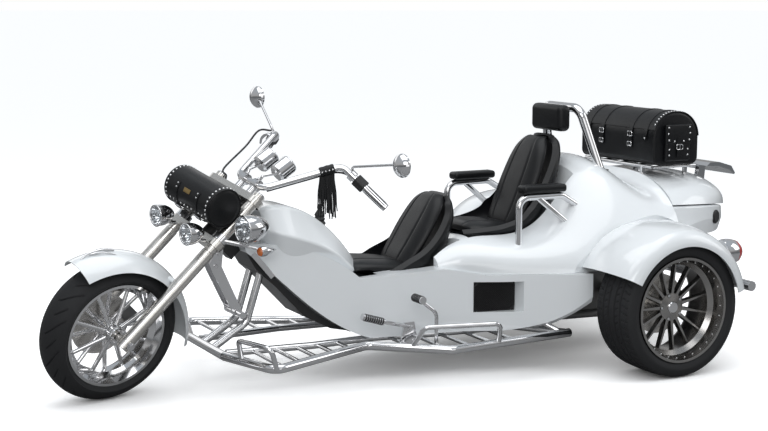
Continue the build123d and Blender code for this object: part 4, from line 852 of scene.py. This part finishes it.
@dataclass
class Pad:
    """A stuffed pad: a crowned sheet along a side line, with sewn seams and a closed underside."""

    line: Sequence[Point]
    thick: float = 40.0
    seams: Sequence[float] = (0.46,)
    crown: float = 0.08
    seam_half: float = 0.022
    seam_depth: float = 5.0
    under_share: float = 0.55

    def shape(self, rows: int = 60, cols: int = 61) -> Shape:
        """Build the pad.

        Args:
            rows: Number of points along the line.
            cols: Number of points across it.

        Returns:
            The pad's shape, drawn ahead of the rear axle.
        """
        run = spline(self.line, rows)
        middle, normal = side_frame(run, 0)
        end = (1 - np.abs(np.linspace(-1, 1, rows)) ** 6) ** 0.5
        u = np.sin(np.linspace(-1, 1, cols) * math.pi / 2)
        roll = (1 - np.abs(u) ** 4) ** 0.5
        dips = (np.exp(-((np.abs(u) - seam) / self.seam_half) ** 2) for seam in self.seams)
        groove = sum(dips, np.zeros(cols))
        stuffed = 1 - self.crown * np.abs(u) ** 2
        top = self.thick * np.outer(end, roll * stuffed) - np.outer(end**3, groove * self.seam_depth)
        under = -self.thick * self.under_share * np.outer(end, roll)
        wide = run[:, 2:3] * (0.9 + 0.1 * end[:, None]) * u[None, :]
        upper, lower = (raised(middle, normal, height, wide) for height in (top, under))
        return Shape().skin(np.concatenate([upper, lower[:, -2:0:-1]], axis=1))


class Seats:
    """Two bucket seats, the headrest and the armrest pads."""

    forms = (
        SeatForm("front",
                 [(1342, 492, 150), (1290, 500, 166), (1180, 492, 170), (1060, 476, 162), (1030, 470, 150)],
                 [(1062, 470, 132), (1000, 552, 148), (930, 660, 152), (868, 752, 132), (826, 806, 78)],
                 [(1344, 470, 165, 24), (1270, 400, 196, 72), (1166, 374, 208, 112), (1040, 392, 212, 138),
                  (930, 456, 208, 130), (846, 566, 190, 96), (798, 690, 164, 60), (796, 772, 128, 34),
                  (812, 806, 84, 12)]),
        SeatForm("rear",
                 [(722, 628, 150), (670, 636, 166), (560, 628, 170), (452, 612, 160), (424, 606, 148)],
                 [(462, 612, 132), (410, 710, 150), (346, 860, 152), (292, 982, 130), (250, 1058, 78)],
                 [(770, 626, 170, 14), (690, 606, 200, 40), (560, 590, 212, 70), (420, 590, 214, 118),
                  (320, 650, 208, 126), (254, 780, 190, 96), (206, 930, 164, 60), (196, 1026, 128, 34),
                  (216, 1062, 84, 12)]),
    )
    shell_rows, shell_cols = 70, 41
    shell_under, shell_over, shell_wall, lip_rise = 10, 4, 22, 3

    def bucket(self, form: SeatForm) -> Shape:
        """Build the shell that wraps a seat's pads.

        Args:
            form: The seat's lines.

        Returns:
            The shell's shape.
        """
        run = spline(form.shell, self.shell_rows)
        half, wing = run[:, 2], run[:, 3]
        middle, normal = side_frame(run, 20)
        turn = np.linspace(-math.pi / 2, math.pi / 2, self.shell_cols)
        side = np.sign(turn) * np.abs(np.sin(turn)) ** 0.75
        rise = 1 - np.abs(np.cos(turn)) ** 0.8
        outer = raised(middle, normal, np.outer(wing, rise) - self.shell_under, np.outer(half, side))
        inner = raised(middle, normal, np.outer(wing + self.lip_rise, rise) + self.shell_over,
                       np.outer(half - self.shell_wall, side))
        return Shape().skin(np.concatenate([outer, inner[:, ::-1]], axis=1))

    def build(self) -> None:
        """Build all padded pieces of the seats."""
        for form in self.forms:
            self.bucket(form).make(f"{form.name}_bucket", ON_CHASSIS, VINYL, (f"{form.name}_seat_shell",))
            for kind, line in (("cushion", form.cushion), ("back", form.back)):
                node = f"{form.name}_seat_{kind}"
                piece = Pad(line).shape().make(f"{form.name}_{kind}_pad", ON_CHASSIS, LEATHER, (node,))
        rest, arms = Shape(), Shape()
        rest.block((178, 0, 1147), (LEFT, UP, AHEAD), (258, 128, 70), 26, 7)
        rest.make("headrest_pad", ON_CHASSIS, LEATHER, ("headrest",))
        for sign in (1, -1):
            arms.block((432, sign * 318, 842), (AHEAD, LEFT, UP), (238, 74, 38), 15, 6)
        arms.make("armrest_soft", ON_CHASSIS, LEATHER, ("armrest_pads",))


def arc_path(middle: Point, radius: float, start: float, stop: float, across: float,
             count: int) -> list[Vector]:
    """Follow an arc in a side plane.

    Args:
        middle: Its middle.
        radius: Its radius.
        start: First angle in degrees, up from the front.
        stop: Last angle in degrees.
        across: Distance to the left of the middle.
        count: Number of points.

    Returns:
        Points on the arc.
    """
    turns = np.radians(np.linspace(start, stop, count))
    return [Vector(middle) + Vector((radius * math.cos(a), across, radius * math.sin(a))) for a in turns]


def heading(angle: float) -> Vector:
    """Find a direction in a side plane.

    Args:
        angle: Degrees up from the front.

    Returns:
        The unit direction.
    """
    return arc_path((0, 0, 0), 1.0, angle, angle, 0.0, 1)[0]


def loop_path(middle: Vector, along: Vector, side: Vector, long: float, wide: float) -> list[Vector]:
    """Follow a rectangle with cut corners, such as a buckle's frame.

    Args:
        middle: Its middle.
        along: Direction of its length.
        side: Direction of its width.
        long: Its length.
        wide: Its width.

    Returns:
        Points round the rectangle, the first two repeated at the end.
    """
    cut_share = 0.16
    a, b, cut = long / 2, wide / 2, min(long, wide) * cut_share
    corners = [(-a + cut, -b), (a - cut, -b), (a, -b + cut), (a, b - cut),
               (a - cut, b), (-a + cut, b), (-a, b - cut), (-a, -b + cut)]
    points = [middle + along * x + side * y for x, y in corners]
    return [*points, points[0], points[1]]


@dataclass
class Trimmings:
    """Leather straps with the metal that holds them, gathered for one bag."""

    leather: Shape = field(default_factory=Shape)
    metal: Shape = field(default_factory=Shape)

    def stud(self, at: Point, way: Point, radius: float = 5.0) -> None:
        """Add one domed stud.

        Args:
            at: Where it sits.
            way: Direction of its top.
            radius: Its radius.
        """
        self.metal.dome(at, way, radius, radius * 0.7)

    def buckle(self, at: Vector, along: Vector, out: Vector, wide: float) -> None:
        """Add a wire buckle with its prong.

        Args:
            at: Its middle.
            along: Direction of the strap.
            out: Direction away from the bag.
            wide: Width of the strap.
        """
        side = along.cross(out)
        self.metal.rod(loop_path(at + out * 3.5, along, side, wide * 0.85, wide * 1.35), 2.2, 8)
        self.metal.rod([at + out * 4.5 - along * wide * 0.42, at + out * 5.5 + along * wide * 0.5], 1.8, 8)


class ForkBag:
    """Roll bag between the fork legs: flap, studs, two straps and a blank plate."""

    up, out = 690.0, 114.9
    profile = ((1, -176), (60, -176.5), (76, -174), (83, -168), (85, -158), (85.4, -80), (85.6, 0),
               (85.4, 80), (85, 158), (83, 168), (76, 174), (60, 176.5), (1, 176))
    flap_radius, flap_wide, stud_radius = 87.0, 340.0, 88.4
    strap_at, strap_radius, strap_wide, buckle_radius = 78.0, 90.0, 26.0, 91.0
    piping_at, piping_radius, edge_studs_at, plate_radius = 171, 84.5, 156, 89.5
    flap_arc, strap_arc, edge_arc = (168.0, -32.0), (36.0, -92.0), (150.0, -26.0)

    def build(self) -> None:
        """Build the bag."""
        middle = CHASSIS.on_fork(self.up, self.out, 0.0)
        trim = Trimmings()
        body = Shape().lathe(self.profile, middle, LEFT, 72)
        body.make("fork_bag_roll", ON_FORK, LEATHER, ("fork_bag",))
        flap = arc_path(middle, self.flap_radius, *self.flap_arc, 0.0, 60)
        trim.leather.strap(flap, flap[0] - middle, self.flap_wide, 3.0)
        for sign in SIDES:
            trim.leather.rod(arc_path(middle, self.piping_radius, 0, 360, sign * self.piping_at, 61), 3.2, 8)
            edge = sign * self.edge_studs_at
            for point in arc_path(middle, self.stud_radius, *self.edge_arc, edge, 15):
                trim.stud(point, point - middle - Vector((0, edge, 0)))
            across = sign * self.strap_at
            strap = arc_path(middle, self.strap_radius, *self.strap_arc, across, 30)
            trim.leather.strap(strap, (0.8, 0, 0.6), self.strap_wide, 3.0)
            aside = Vector((0, across, 0))
            out = heading(-44.0)
            along = Vector((-out.z, 0, out.x))
            trim.buckle(middle + out * self.buckle_radius + aside, along, out, self.strap_wide)
            for way in map(heading, (30.0, 18.0, -70.0)):
                trim.stud(middle + way * 91.4 + aside, way, 4.0)
        way = heading(-24.0)
        for across in np.linspace(-126, 126, 10):
            trim.stud(middle + way * self.stud_radius + Vector((0, across, 0)), way)
        trim.leather.make("fork_bag_flap", ON_FORK, LEATHER)
        trim.metal.make("fork_bag_studs", ON_FORK, CHROME)
        way = heading(22.0)
        axes = (LEFT, Vector((-way.z, 0, way.x)), way)
        plate = Shape().block(middle + way * self.plate_radius, axes, (48, 20, 2.4), 1.0)
        plate.make("fork_bag_plate", ON_FORK, BRASS)


class RearBag:
    """Touring bag on the rack: rolled lid, bands, buckles and an end pocket on each side."""

    low, high, rear, front = 913.6, 1174.0, -497.0, -222.0
    top_radius, foot_radius = 128.0, 36.0
    half_skin = ((0, 1), (200, 1.5), (288, 2), (295, 4), (299, 9), (300, 16))
    lid_wide, band_wide, outer_bands = 604.0, 24.0, 200
    lid_span, edge_span, band_stop = (0.27, 0.78), (0.285, 0.765), 0.8
    edge_studs_at, piping_at = 290, 296
    pocket_studs = ((-64, 78), (64, 78), (-66, 48), (66, 48), (-62, 16), (62, 16), (-28, 10), (28, 10),
                    (-56, -30), (56, -30), (-56, -58), (56, -58))

    def section(self, inset: float, count: int = 72) -> np.ndarray:
        """Outline of the bag in a side plane.

        Args:
            inset: Distance inside the bag's skin.
            count: Number of points.

        Returns:
            Rows of places ahead and heights, from the front's foot over the top.
        """
        top, foot = self.top_radius, self.foot_radius
        corners = ((self.front - foot, self.low + foot, foot, -90),
                   (self.front - top, self.high - top, top, 0),
                   (self.rear + top, self.high - top, top, 90),
                   (self.rear + foot, self.low + foot, foot, 180))
        points = []
        for x, z, radius, start in corners:
            for angle in np.radians(np.linspace(start, start + 90, count // 4)):
                size = radius - inset
                points.append((x + size * math.cos(angle), z + size * math.sin(angle)))
        return np.array(points)

    def skin_path(self, out: float, start: float, stop: float, across: float, count: int) -> list[Vector]:
        """Follow the bag's skin over its top.

        Args:
            out: Distance outside the skin.
            start: First share of the way round from the front's foot.
            stop: Last share of the way round.
            across: Distance to the left.
            count: Number of points.

        Returns:
            Points on the skin.
        """
        line = self.section(-out, 200)
        run = np.concatenate([[0], np.cumsum(np.linalg.norm(np.diff(line, axis=0), axis=1))])
        want = np.linspace(start, stop, count) * run[-1]
        return [Vector((np.interp(w, run, line[:, 0]), across, np.interp(w, run, line[:, 1]))) for w in want]

    def build(self) -> None:
        """Build the bag."""
        trim = Trimmings()
        skin = [*((-across, inset) for across, inset in self.half_skin[:0:-1]), *self.half_skin]
        rings = [[(x, across, z) for x, z in self.section(inset)] for across, inset in skin]
        body = Shape().skin(np.array(rings))
        body.make("rear_bag_shell", ON_LID, LEATHER, ("rear_bag",))
        trim.leather.strap(self.skin_path(1.2, *self.lid_span, 0.0, 70), AHEAD, self.lid_wide, 3.6)
        for across in (-236.0, -118.0, 118.0, 236.0):
            outer = abs(across) > self.outer_bands
            band = self.skin_path(4.0, 0.2 if outer else 0.14, self.band_stop, across, 60)
            trim.leather.strap(band, AHEAD, self.band_wide, 3.2)
            trim.stud(band[0] + Vector((2.0, 0, 8)), AHEAD, 4.5)
            if not outer:
                for step, wide in ((8, 26.0), (2, 24.0)):
                    trim.buckle(band[step] + AHEAD, UP, AHEAD, wide)
        for sign in SIDES:
            edge = self.skin_path(3.2, *self.edge_span, sign * self.edge_studs_at, 22)
            for before, point, after in zip(edge, edge[1:], edge[2:]):
                run = (after - before).normalized()
                trim.stud(point, Vector((run.z, 0, -run.x)), 4.6)
            ring = [Vector((x, sign * self.piping_at, z)) for x, z in self.section(4.0)]
            trim.leather.rod([*ring, ring[0]], 3.2, 8)
            self.pocket(trim, sign)
        trim.leather.make("rear_bag_straps", ON_LID, LEATHER)
        trim.metal.make("rear_bag_studs", ON_LID, CHROME)

    def pocket(self, trim: Trimmings, sign: int) -> None:
        """Add the pocket on one end of the bag.

        Args:
            trim: What it is added to.
            sign: 1 for the left end, -1 for the right one.
        """
        out = LEFT * sign
        axes = (AHEAD, UP, out)
        middle = Vector(((self.rear + self.front) / 2, sign * 310, 1022))
        trim.leather.block(middle, axes, (150, 178, 24), 11, 5)
        trim.leather.block(middle + Vector((0, sign * 9, 44)), axes, (158, 96, 14), 6.5, 5)
        trim.leather.strap([middle + out * 18 + UP * z for z in (30, 0, -30, -66)], out, 26, 3.2)
        trim.buckle(middle + out * 18.5 - UP * 18, UP, out, 28.0)
        for x, z in self.pocket_studs:
            trim.stud(middle + Vector((x, sign * (16.2 if z > 0 else 12.2), z)), out, 4.8)


class Handlebar:
    """Points of the bar's left half about the front axle, as in the CAD part."""

    bend = Vector((-970.0, 253.0, 725.0))
    rise = Vector((-668.0, 96.0, 601.0))
    clamp = Vector((-668.0, 44.0, 601.0))
    grip_way = Vector((-0.415, 0.741, -0.528)).normalized()

    @classmethod
    def along_grip(cls, distance: float) -> Vector:
        """Find a place on the grip.

        Args:
            distance: Distance outward from the bar's bend.

        Returns:
            The place.
        """
        return cls.bend + cls.grip_way * distance


class Fringe:
    """Leather wrap on the left bar with its hanging thongs."""

    wrap = ((15.4, -34), (21, -33), (23, -26), (21.5, -12), (23.4, 2), (21.6, 14), (23, 26), (21, 33),
            (15.4, 34))
    wrap_back, thongs_below = 70, 12
    count, steps = 17, 8
    fan_share, fan_spread, ripple, lift_spread = 0.3, 7.0, 1.4, 3.0
    wide, reach, reach_spread, layer_out = 62.0, 176.0, 30.0, 5.5

    def build(self) -> None:
        """Build the fringe."""
        run = (Handlebar.bend - Handlebar.rise).normalized()
        middle = Handlebar.bend - run * self.wrap_back
        hang = Matrix.Rotation(-CHASSIS.parked_steer, 3, CHASSIS.fork_up) @ -UP
        flat = (run - hang * run.dot(hang)).normalized()
        out = hang.cross(flat)
        made, studs = Shape().lathe(self.wrap, middle, run, 28), Shape()
        for layer, depth in ((0, self.layer_out), (1, -self.layer_out)):
            for index in range(self.count):
                seat = (index / (self.count - 1) - 0.5) * self.wide
                reach = self.reach + self.reach_spread * noise(index, layer)
                fan = seat * self.fan_share + self.fan_spread * noise(index, layer, 3.0)
                path = []
                for step in range(self.steps + 1):
                    share = step / self.steps
                    sway = share * fan + self.ripple * math.sin(step * 1.1 + index)
                    lift = self.lift_spread * share * noise(index, layer, 7.0)
                    away = depth * (1 - 0.5 * step / self.steps) + lift
                    down = self.thongs_below + reach * step / self.steps
                    path.append(middle + flat * (seat + sway) + out * away + hang * down)
                made.strap(path, out, 5.0, 1.7)
        made.make("bar_fringe_thongs", ON_FORK, LEATHER, ("bar_fringe",))
        for seat in (-24, -8, 8, 24):
            studs.dome(middle + run * seat + out * 22.4, out, 4.0, 2.6)
        studs.make("bar_fringe_studs", ON_FORK, CHROME)


class FrontEnd:
    """Lamp rims and bulbs, dials, mirror glass, grip strips, lever, cables and bolts on the fork."""

    lamps = (((-457.0, 262.0, 493.0), 61.0), ((-265.0, 121.0, 446.0), 48.0))
    bulb = ((0.1, -0.86), (12, -0.86), (12, -0.6), (8, -0.52), (8, -0.26), (5, -0.2), (0.1, -0.18))
    signal = Vector((-572.0, 250.0, 372.0))
    gauge = Vector((-752.0, 66.0, 648.0))
    gauge_way = Vector((-0.85, 0.0, 0.53)).normalized()
    gauge_long = 82.4
    mirror_head = Vector((-1057.0, 544.0, 812.0))
    leg_across, leg_top, yoke_top, yoke_middles = 147, 852.0, 832.0, (564.0, 816.0)
    axle_end, hub_end, lever_from, lever_to = 184, 84.5, 62, 232
    to_right = Vector((1, -1, 1))

    def ring(self, middle: Vector, way: Vector, radius: float, count: int = 49) -> list[Vector]:
        """Follow a circle.

        Args:
            middle: Its middle.
            way: Its axis.
            radius: Its radius.
            count: Number of points.

        Returns:
            Points round the circle.
        """
        side = way.orthogonal().normalized()
        other = way.cross(side)
        return [middle + side * radius * math.cos(a) + other * radius * math.sin(a)
                for a in np.linspace(0, 2 * math.pi, count)]

    def light_pieces(self) -> None:
        """Build the lamps' rims, bulbs and amber lenses."""
        rims, bulbs, amber = Shape(), Shape(), Shape()
        for at, radius in self.lamps:
            rims.rod(self.ring(Vector(at) - AHEAD * 2, AHEAD, radius - 2.5), 4.0, 10)
            bulbs.lathe([(wide, radius * share) for wide, share in self.bulb], at, AHEAD, 20)
        amber.lathe([(18, -3), (19.5, 1), (16, 7), (9, 11), (0.1, 12)], self.signal, AHEAD, 24)
        rims.mirrored().make("lamp_rims", ON_FORK, CHROME)
        bulbs.mirrored().make("lamp_bulbs", ON_FORK, MIRROR)
        amber.mirrored().make("signal_lenses", ON_FORK, AMBER_LENS)

    def dials(self) -> None:
        """Build the gauges' faces and the mirrors' glass."""
        face, marks, rims, glass = Shape(), Shape(), Shape(), Shape()
        out = self.gauge_way
        front = self.gauge + out * self.gauge_long
        face.lathe([(0.1, 0), (34, 0), (34, 0.8), (0.1, 0.8)], front, out, 40)
        rims.rod(self.ring(front + out, out, 37.0), 3.6, 10)
        up = out.cross(LEFT)
        for index in range(11):
            angle = math.radians(-30 + 24 * index)
            way = LEFT * math.cos(angle) + up * math.sin(angle)
            marks.rod([front + way * 26 + out, front + way * 32 + out], 1.1, 6)
        needle = (LEFT * -0.8 - up * 0.4) * 28
        marks.rod([front + out * 1.6, front + needle + out * 1.6], [2.4, 0.8], 6)
        marks.lathe([(5, 0.8), (5, 3), (0.1, 3.6)], front, out, 16)
        glass.lathe([(0.1, 6.3), (49, 6.2), (49, 5.6), (0.1, 5.6)], self.mirror_head, -AHEAD, 40)
        face.mirrored().make("dial_faces", ON_FORK, DIAL)
        marks.mirrored().make("dial_marks", ON_FORK, POWDER, slotted=False)
        rims.mirrored().make("dial_rims", ON_FORK, CHROME)
        glass.mirrored().make("mirror_glass", ON_FORK, MIRROR)

    def grips(self) -> None:
        """Build the grips' strips, the switch buttons and the hand lever."""
        strips, lever, buttons = Shape(), Shape(), Shape()
        grip, way = Handlebar.along_grip, Handlebar.grip_way
        side = way.orthogonal().normalized()
        other = way.cross(side)
        for x, y in around(9):
            out = (side * x + other * y) * 17.6
            strips.rod([grip(d) + out for d in (142, 150, 250, 260)], [0.6, 2.0, 2.0, 0.6], 6)
        strips.mirrored().make("grip_strips", ON_FORK, BLACK_RUBBER)
        for along, lift in ((100, 10), (116, -8)):
            buttons.block(grip(along) + Vector((-20, 8, lift)), (way, side, other), (12, 9, 9), 3)
        buttons.mirrored().make("switch_buttons", ON_FORK, CHROME)
        root, tip = grip(self.lever_from) * self.to_right, grip(self.lever_to) * self.to_right
        fore = Vector((46, 0, 16))
        knots = [root + fore * 0.4, root + fore * 0.95, (root + tip) / 2 + fore * 1.25, tip + fore * 1.1]
        lever.rod(spline(knots, 16), np.linspace(8, 5, 16), 10)
        lever.block(root + fore * 0.42, (way * self.to_right, side, other), (40, 30, 30), 8)
        lever.make("brake_lever", ON_FORK, CHROME)

    def lines(self) -> None:
        """Build the cables under the bar and the brake hose."""
        cables, hose = Shape(), Shape()
        sloped = [Handlebar.bend.lerp(Handlebar.rise, share) for share in (0.12, 0.35, 0.65, 0.95)]
        line = [Handlebar.along_grip(84), Handlebar.along_grip(26), *sloped]
        for sign in (1, -1):
            cables.rod(spline([Vector((p.x, p.y * sign, p.z - 18)) for p in line], 40), 4.2, 8)
        cables.make("bar_cables", ON_FORK, BLACK_RUBBER)
        perch = Handlebar.along_grip(self.lever_from) * self.to_right
        foot = CHASSIS.on_fork(self.yoke_top, -10.0, -112.0)
        knots = [perch + Vector((16, -6, 29)), Vector((-905, -300, 728)), Vector((-812, -262, 672)),
                 foot + Vector((-26, -52, 44)), foot + Vector((-6, 0, 30)), foot]
        hose.rod(spline(knots, 60), 4.5, 10).make("brake_hose_line", ON_FORK, BLACK_RUBBER, ("brake_hose",))

    def bolts(self) -> None:
        """Build the bolts of the yokes, clamps and axle, the hub's beads and the fender's finial."""
        made, wheel = Shape(), Shape()
        up, out = CHASSIS.fork_up, CHASSIS.fork_out
        for sign in SIDES:
            leg = sign * self.leg_across
            for height in self.yoke_middles:
                made.hex_bolt(CHASSIS.on_fork(height, -36.0, leg), -out, 17, 9)
            for fore in (-14.0, 14.0):
                made.hex_bolt(Handlebar.clamp * Vector((1, sign, 1)) + out * fore + up * 22, up, 11, 7)
            made.hex_bolt((0, sign * self.axle_end, 0), (0, sign, 0), 30, 14)
            made.lathe([(27, 0), (27, 3), (20, 8), (0.1, 9)], CHASSIS.on_fork(self.leg_top, 0.0, leg), up, 28)
        made.hex_bolt(CHASSIS.on_fork(self.yoke_top, -50.0, 0.0), up, 42, 15)
        spine = spline([(158, 0, 347), (126, 0, 366), (70, 0, 376), (8, 0, 367)], 20)
        made.rod(spine, np.linspace(3.0, 8.0, 20), 12)
        for sign in SIDES:
            wing = spline([(120, 0, 364), (70, sign * 18, 372), (14, sign * 34, 362)], 14)
            made.rod(wing, np.linspace(5.0, 2.5, 14), 10)
        made.make("fork_bolts", ON_FORK, CHROME)
        for x, z in around(8):
            for sign in SIDES:
                wheel.hex_bolt((29 * x, sign * self.hub_end, 29 * z), (0, sign, 0), 10, 6)
        for across in (-70, -20, 20, 70):
            wheel.rod(self.ring(LEFT * across, LEFT, 40.5), 2.6, 8)
        wheel.make("front_hub_bolts", ON_FRONT_WHEEL, CHROME)

    def build(self) -> None:
        """Build all of the front end's small pieces."""
        for step in (self.light_pieces, self.dials, self.grips, self.lines, self.bolts):
            step()


class BodyTrim:
    """Mesh in the side grilles, flanges, rubbers, bolts and tail lamp lenses."""

    grille = (Vector((812.0, 331.0, 0.0)), Vector((612.0, 364.0, 0.0)))
    grille_low, grille_high = 292.0, 432.0
    wire_pitch, wire_radius, shortest_wire = 10.0, 1.3, 4
    brake_grip = (Vector((1290, 366, 298)), Vector((1400, 366, 332)))
    brake_plate_face, brace_face, rib_pitch = 372, 47.4, 11
    tail_lamp = (-318, 705, 540)

    def mesh(self) -> None:
        """Weave the side grilles."""
        made = Shape()
        start, stop = self.grille
        run = stop - start
        long, high = run.length, self.grille_high - self.grille_low
        run.normalize()
        out = Vector((-run.y, run.x, 0))
        out = out if out.y > 0 else -out
        for slope in (1, -1):
            base = start + out * (9.6 + 0.8 * slope) + UP * self.grille_low
            for index in range(int((long + high) / self.wire_pitch)):
                offset = index * self.wire_pitch
                ends = max(0.0, offset - high), min(long, offset)
                if abs(ends[0] - ends[1]) < self.shortest_wire:
                    continue
                levels = [offset - along if slope > 0 else high - (offset - along) for along in ends]
                made.rod([base + run * along + UP * level for along, level in zip(ends, levels)],
                         self.wire_radius, 5)
        middle = start + run * long / 2 + out * 10 + UP * ((self.grille_low + self.grille_high) / 2)
        made.rod(loop_path(middle, run, UP, long - 4, high - 4), 3.0, 8)
        made.mirrored().make("grille_mesh", ON_CHASSIS, MESH)

    def controls(self) -> None:
        """Build the rubber on the hand brake and the pedal, and the hand brake's bolts."""
        rubber, bolts = Shape(), Shape()
        start, stop = self.brake_grip
        way = (stop - start).normalized()
        for index in range(9):
            at = start + way * (8 + self.rib_pitch * index)
            rubber.lathe([(15.2, 0), (17, 1.5), (17, 6.5), (15.2, 8)], at, way, 24)
        for index in range(7):
            at = (1150, 389 + self.rib_pitch * index, 400)
            rubber.lathe([(17.2, 0), (18.6, 1.5), (18.6, 6.5), (17.2, 8)], at, LEFT, 24)
        for x, z in ((1140, 200), (1190, 200), (1165, 262)):
            bolts.hex_bolt((x, self.brake_plate_face, z), LEFT, 15, 8)
        rubber.make("control_rubbers", ON_CHASSIS, BLACK_RUBBER)
        bolts.make("control_bolts", ON_CHASSIS, CHROME)

    def fittings(self) -> None:
        """Build the strip on the nose, flanges of the tubes, brace bolts and the tail lamp lenses."""
        chrome, red = Shape(), Shape()
        chrome.strap([(1812, 121.5, 606), (1768, 132.5, 552), (1726, 141.5, 499)], (0.2, 1, 0), 25, 3)
        for at in ((569, 332, 574), (24, 222, 897)):
            chrome.lathe([(34, -6), (34, 3), (31, 5), (24, 5)], at, UP, 32)
        for x, z in ((1944, 606), (1958, 552), (1862, 342)):
            chrome.hex_bolt((x, self.brace_face, z), LEFT, 17, 9)
        red.lathe([(56.6, 70), (52.5, 84), (39, 100), (20, 112), (0.1, 117.2)], self.tail_lamp, -AHEAD, 40)
        chrome.mirrored().make("body_fittings", ON_CHASSIS, CHROME)
        red.mirrored().make("tail_lamp_lenses", ON_CHASSIS, RED_LENS)

    def build(self) -> None:
        """Build the body's trim."""
        for step in (self.mesh, self.controls, self.fittings):
            step()


class Studio:
    """Camera, light and floor."""

    eye = (3.27338, 6.0745, 1.6885)
    yaw, pitch, roll = 0.4818, 0.1409, 0.0022
    lens, sensor = 69.53, 36.0
    clip = (0.05, 900.0)
    dome, backdrop = 0.55, 1.82
    sky_ends = ((0.1, 0.1, 0.1, 1), (0.84, 0.92, 1.0, 1))
    sky_stops = ((0.48, 0.3), (0.52, 0.36), (0.6, 0.8))
    # The last two numbers set the reach and samples of the painted contact shadow on the floor
    floor_reach, floor_glow, contact_reach, contact_samples = 400.0, 0.54, 0.5, 8
    # Name, place, aim, width and height, and power in watts of each soft box
    lamps = (
        ("overhead", (0.3, 0.6, 5.0), (0, 0, 0.4), (6.0, 5.0), 150),
        ("key", (3.5, 5.0, 3.4), (0, 0, 0.5), (3.5, 2.2), 80),
        ("fill", (1.2, 6.5, 1.3), (0.2, 0, 0.5), (5.0, 1.6), 26),
        ("tail", (-5.0, 2.5, 3.0), (-0.6, 0, 0.6), (2.5, 3.0), 40),
        ("back", (0.5, -5.5, 3.2), (0, 0, 0.5), (6.0, 2.0), 30),
    )

    def place(self, name: str, data: bpy.types.ID, at: Point, way: Vector) -> bpy.types.Object:
        """Stand a camera or lamp in the scene.

        Args:
            name: Its name.
            data: What it is.
            at: Where it stands.
            way: Where it looks.

        Returns:
            The new object.
        """
        made = bpy.data.objects.new(name, data)
        bpy.context.scene.collection.objects.link(made)
        turn = way.to_track_quat("-Z", "Y").to_matrix().to_4x4()
        made.matrix_world = Matrix.Translation(at) @ turn
        return made

    def camera(self) -> None:
        """Set the camera to the photo's view."""
        data = bpy.data.cameras.new("camera")
        data.lens, data.sensor_width, data.sensor_fit = self.lens, self.sensor, "HORIZONTAL"
        data.clip_start, data.clip_end = self.clip
        level = math.cos(self.pitch)
        view = Vector((-math.sin(self.yaw) * level, -math.cos(self.yaw) * level, -math.sin(self.pitch)))
        camera = self.place("camera", data, self.eye, view)
        camera.matrix_world = camera.matrix_world @ Matrix.Rotation(self.roll, 4, "Z")
        bpy.context.scene.camera = camera

    def sky(self) -> None:
        """Light the scene from a pale dome that darkens towards the horizon."""
        world = bpy.data.worlds.new("studio")
        world.use_nodes = True
        bpy.context.scene.world = world
        made = Wiring(world.node_tree, {
            "place": "TexCoord", "split": "SeparateXYZ", "ramp": "ValToRGB", "spread": "Math",
            "rays": "LightPath", "seen": "Mix"})
        made.nodes["shell"] = world.node_tree.nodes["Background"]
        made.nodes["spread"].operation = "MULTIPLY_ADD"
        made.nodes["seen"].data_type = "RGBA"
        elements = made.nodes["ramp"].color_ramp.elements
        for index, colour in enumerate(self.sky_ends):
            elements[index].position, elements[index].color = index, colour
        for position, value in self.sky_stops:
            elements.new(position).color = (value, value, value, 1)
        made.preset({"spread.1": 0.5, "spread.2": 0.5, "shell.Strength": self.dome,
                     "seen.B": (self.backdrop, self.backdrop, self.backdrop, 1)})
        made.join(("place.Generated", "split.Vector"), ("split.Z", "spread.0"), ("spread.0", "ramp.Fac"),
                  ("rays.Is Camera Ray", "seen.Factor"), ("ramp.Color", "seen.A"),
                  ("seen.Result", "shell.Color"))

    def floor(self) -> None:
        """Lay a pale floor, which looks white to the camera and greyer in reflections, with a painted contact
        shadow where ambient occlusion dims its glow.
        """
        mesh = bpy.data.meshes.new("floor")
        far = self.floor_reach
        mesh.from_pydata([(-far, -far, 0), (far, -far, 0), (far, far, 0), (-far, far, 0)], [], [(0, 1, 2, 3)])
        material = FLOOR.material()
        made = Wiring(material.node_tree, {
            "rays": "LightPath", "gain": "Math", "tone": "Mix", "contact": "AmbientOcclusion",
            "deepen": "Math"})
        made.nodes["shader"] = material.node_tree.nodes["Principled BSDF"]
        for name in ("gain", "deepen"):
            made.nodes[name].operation = "MULTIPLY"
        made.nodes["tone"].data_type = "RGBA"
        made.nodes["contact"].samples = self.contact_samples
        made.preset({"gain.1": self.floor_glow, "contact.Distance": self.contact_reach,
                     "tone.A": (0.3, 0.3, 0.3, 1), "tone.B": (0.95, 0.95, 0.95, 1),
                     "shader.Emission Color": (1, 1, 1, 1)})
        # Ambient occlusion dims the floor's glow near the trike and its wheels: a painted contact shadow,
        # seen by the camera only
        made.join(("rays.Is Camera Ray", "tone.Factor"), ("tone.Result", "shader.Base Color"),
                  ("rays.Is Camera Ray", "deepen.0"), ("contact.AO", "deepen.1"), ("deepen.0", "gain.0"),
                  ("gain.0", "shader.Emission Strength"))
        mesh.materials.append(material)
        floor = bpy.data.objects.new("floor", mesh)
        bpy.context.scene.collection.objects.link(floor)

    def build(self) -> None:
        """Set up the whole studio."""
        self.camera()
        self.sky()
        self.floor()
        for name, at, aim, size, power in self.lamps:
            data = bpy.data.lights.new(name, "AREA")
            data.shape, data.size, data.size_y, data.energy = "RECTANGLE", *size, power
            self.place(name, data, at, Vector(aim) - Vector(at))
        settings = bpy.context.scene.view_settings
        settings.view_transform = "Standard"
        settings.look = "None"


def main() -> None:
    """Build every piece and the studio."""
    logging.basicConfig(level=logging.INFO)
    FrameDressing().dress()
    for assembly in (Wheels(), Seats(), ForkBag(), RearBag(), Fringe(), FrontEnd(), BodyTrim()):
        assembly.build()
        LOG.info("built %s", type(assembly).__name__)
    Studio().build()


if __name__ == "__main__":
    main()
